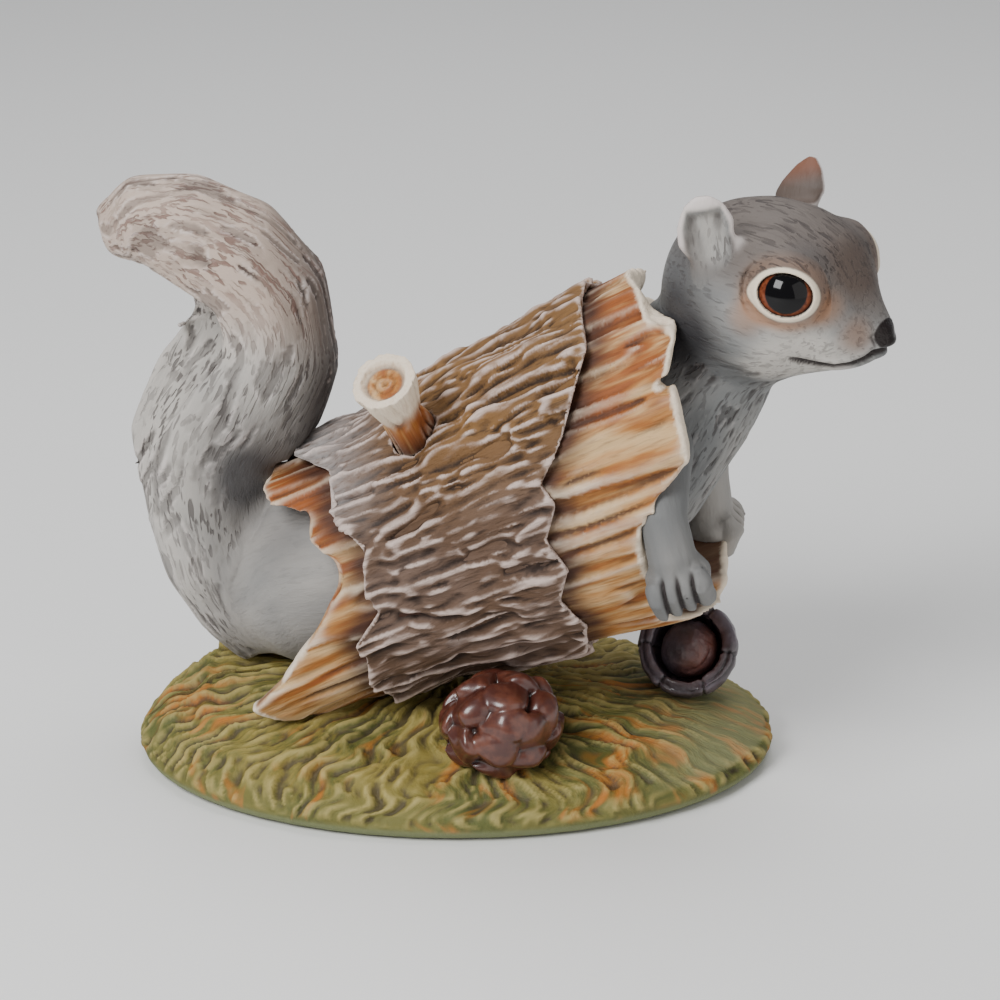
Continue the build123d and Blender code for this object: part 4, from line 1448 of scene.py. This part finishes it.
@dataclass
class Cone:
    """The glazed pine cone with its overlapping scales."""

    mesh_width: float = 0.4
    middle: Triple = (8.6, -27.6, 18.2)
    way: Triple = (0.304212, -0.861934, 0.405616)
    scales: int = 22
    golden_turn: float = 2.39996
    half_sizes: Triple = (11.2, 12.8, 11.2)
    scale_length: float = 0.47
    scale_width: float = 0.46

    def scale(self, ball: Array, number: int) -> Array:
        """How high one scale stands over each place on a ball of size one."""
        rise = 1.0 - 2.0 * (number + 0.35) / self.scales
        turn = number * self.golden_turn
        ring = math.sqrt(1 - rise * rise)
        tip = np.array([rise, ring * math.cos(turn), ring * math.sin(turn)])
        down = unit((-1.0, 0.0, 0.0) + tip * tip[0] + 0.5 * np.cross(tip, (1.0, 0.0, 0.0)))
        low = (ball - tip) @ down
        wide = (ball - tip) @ np.cross(tip, down)
        outline = np.hypot((low + 0.02) / self.scale_length, wide / self.scale_width)
        dome = np.sqrt(np.maximum(1.0 - outline**2, 0.0))
        return np.where((outline < 1.0) & (ball @ tip > 0.4), dome**0.7 * (0.78 - 0.75 * low), 0.0)

    def build(self) -> None:
        """Models and glazes the cone."""
        clay = Clay("pine_cone_scales", ["pine_cone"], self.mesh_width)
        clay.smooth(30, 0.5)
        ball = upright(self.middle, self.way).local(clay.co) / self.half_sizes
        ball /= np.linalg.norm(ball, axis=1)[:, None]
        best = np.zeros(clay.count)
        for number in range(self.scales):
            best = np.maximum(best, self.scale(ball, number))
        clay.push(best * 3.4 - 2.75)
        clay.smooth(2, 0.4)
        raised = clay.raised(10)
        clay.keep(grain=clay.co, groove=ramp(-raised, 0.03, 0.4), ridge=ramp(raised, 0.05, 0.4))
        clay.finish(ConeGlaze().material())


@dataclass
class Nut:
    """The open husk with the nut in it."""

    mesh_width: float = 0.4
    middle: Triple = (44.9, 2.5, 19.7)
    way: Triple = (-0.201773, -0.807093, 0.554877)

    def build(self) -> None:
        """Models and paints both pieces, the husk with seams and the nut without."""
        for name, ring_depth, seam_depth in (("nut_husk", 0.5, 0.55), ("nut_kernel", 0.25, 0.0)):
            clay = Clay(name + "_carved", [name], self.mesh_width)
            clay.smooth(6, 0.4)
            along, across, lift = upright(self.middle, self.way).local(clay.co).T
            radius = np.hypot(across, lift)
            turn = np.arctan2(lift, across)
            rings = Grain(71).lines(np.stack([radius * 0.32, along * 0.32, 0.25 * turn], axis=1), 0.13)
            wave = np.sin(turn * 3.0 + 0.6 * Grain(73).at(clay.co * 0.2))
            seams = bell(wave, 0.10) * ramp(radius, 4.5, 6.5)
            clay.push(0.22 * Grain(72).at(clay.co * 0.4) - ring_depth * rings - seam_depth * seams)
            raised = clay.raised(8)
            clay.keep(
                grain=clay.co,
                groove=ramp(-raised, 0.02, 0.22) * 0.9,
                ridge=ramp(raised, 0.02, 0.25) * 0.6,
                warm=ramp(-across + lift * 0.4, -2.0, 5.0) * ramp(9.0 - radius, 0.0, 5.0) * 0.8,
            )
            clay.finish(NutPaint().material(name + "_paint"))


@dataclass
class Studio:
    """Pale floor, soft lights and the camera at the picture's angle."""

    camera: Triple = (8.4, -649.0, 313.8)
    target: Triple = (8.4, 0.0, 51.6)
    lens: float = 132.6
    sensor: float = 36.0
    floor_size: float = 3.0

    def aim(self, thing: bpy.types.Object, place: Triple) -> None:
        """Places a light or the camera and turns it to the target."""
        thing.location = Vector(place) * MM
        thing.rotation_euler = (Vector(self.target) - Vector(place)).to_track_quat("-Z", "Y").to_euler()

    def lamp(
        self, name: str, place: Triple, power: float, size: float, colour: Triple = (1.0, 1.0, 1.0)
    ) -> None:
        """One soft square light."""
        light = bpy.data.lights.new(name, "AREA")
        light.energy = power
        light.size = size
        light.color = colour
        self.aim(linked(name, light), place)

    def build(self) -> None:
        """Sets the stage."""
        bm = bmesh.new()
        bmesh.ops.create_grid(bm, x_segments=2, y_segments=2, size=self.floor_size)
        mesh = bpy.data.meshes.new("floor")
        bm.to_mesh(mesh)
        bm.free()
        floor = linked("floor", mesh)
        paint = Paint("floor_paint")
        cloud = paint.noise(paint.place(), (3.0, 3.0, 3.0), 2.0)
        shade = paint.mix(cloud, (0.80, 0.80, 0.79, 1.0), (0.84, 0.84, 0.83, 1.0))
        mesh.materials.append(paint.close(shade, 0.6))
        world = bpy.data.worlds.new("studio")
        world.use_nodes = True
        back = world.node_tree.nodes["Background"]
        back.inputs["Color"].default_value = (0.93, 0.95, 1.0, 1.0)
        back.inputs["Strength"].default_value = 0.27
        bpy.context.scene.world = world
        self.lamp("key", (-420.0, -520.0, 640.0), 9.0, 0.4)
        self.lamp("fill", (560.0, -480.0, 300.0), 1.7, 0.7, (1.0, 0.97, 0.93))
        self.lamp("top", (60.0, 260.0, 720.0), 3.2, 0.6)
        camera = bpy.data.cameras.new("camera")
        camera.lens = self.lens
        camera.sensor_width = self.sensor
        holder = linked("camera", camera)
        self.aim(holder, self.camera)
        bpy.context.scene.camera = holder


def main() -> None:
    """Builds the figurine and its stage."""
    logging.basicConfig(level=logging.INFO, format="%(message)s")
    for piece in (Squirrel(), Log(), Mound(), Cone(), Nut(), Studio()):
        piece.build()
        LOG.info("%s done", type(piece).__name__)


if __name__ == "__main__":
    main()
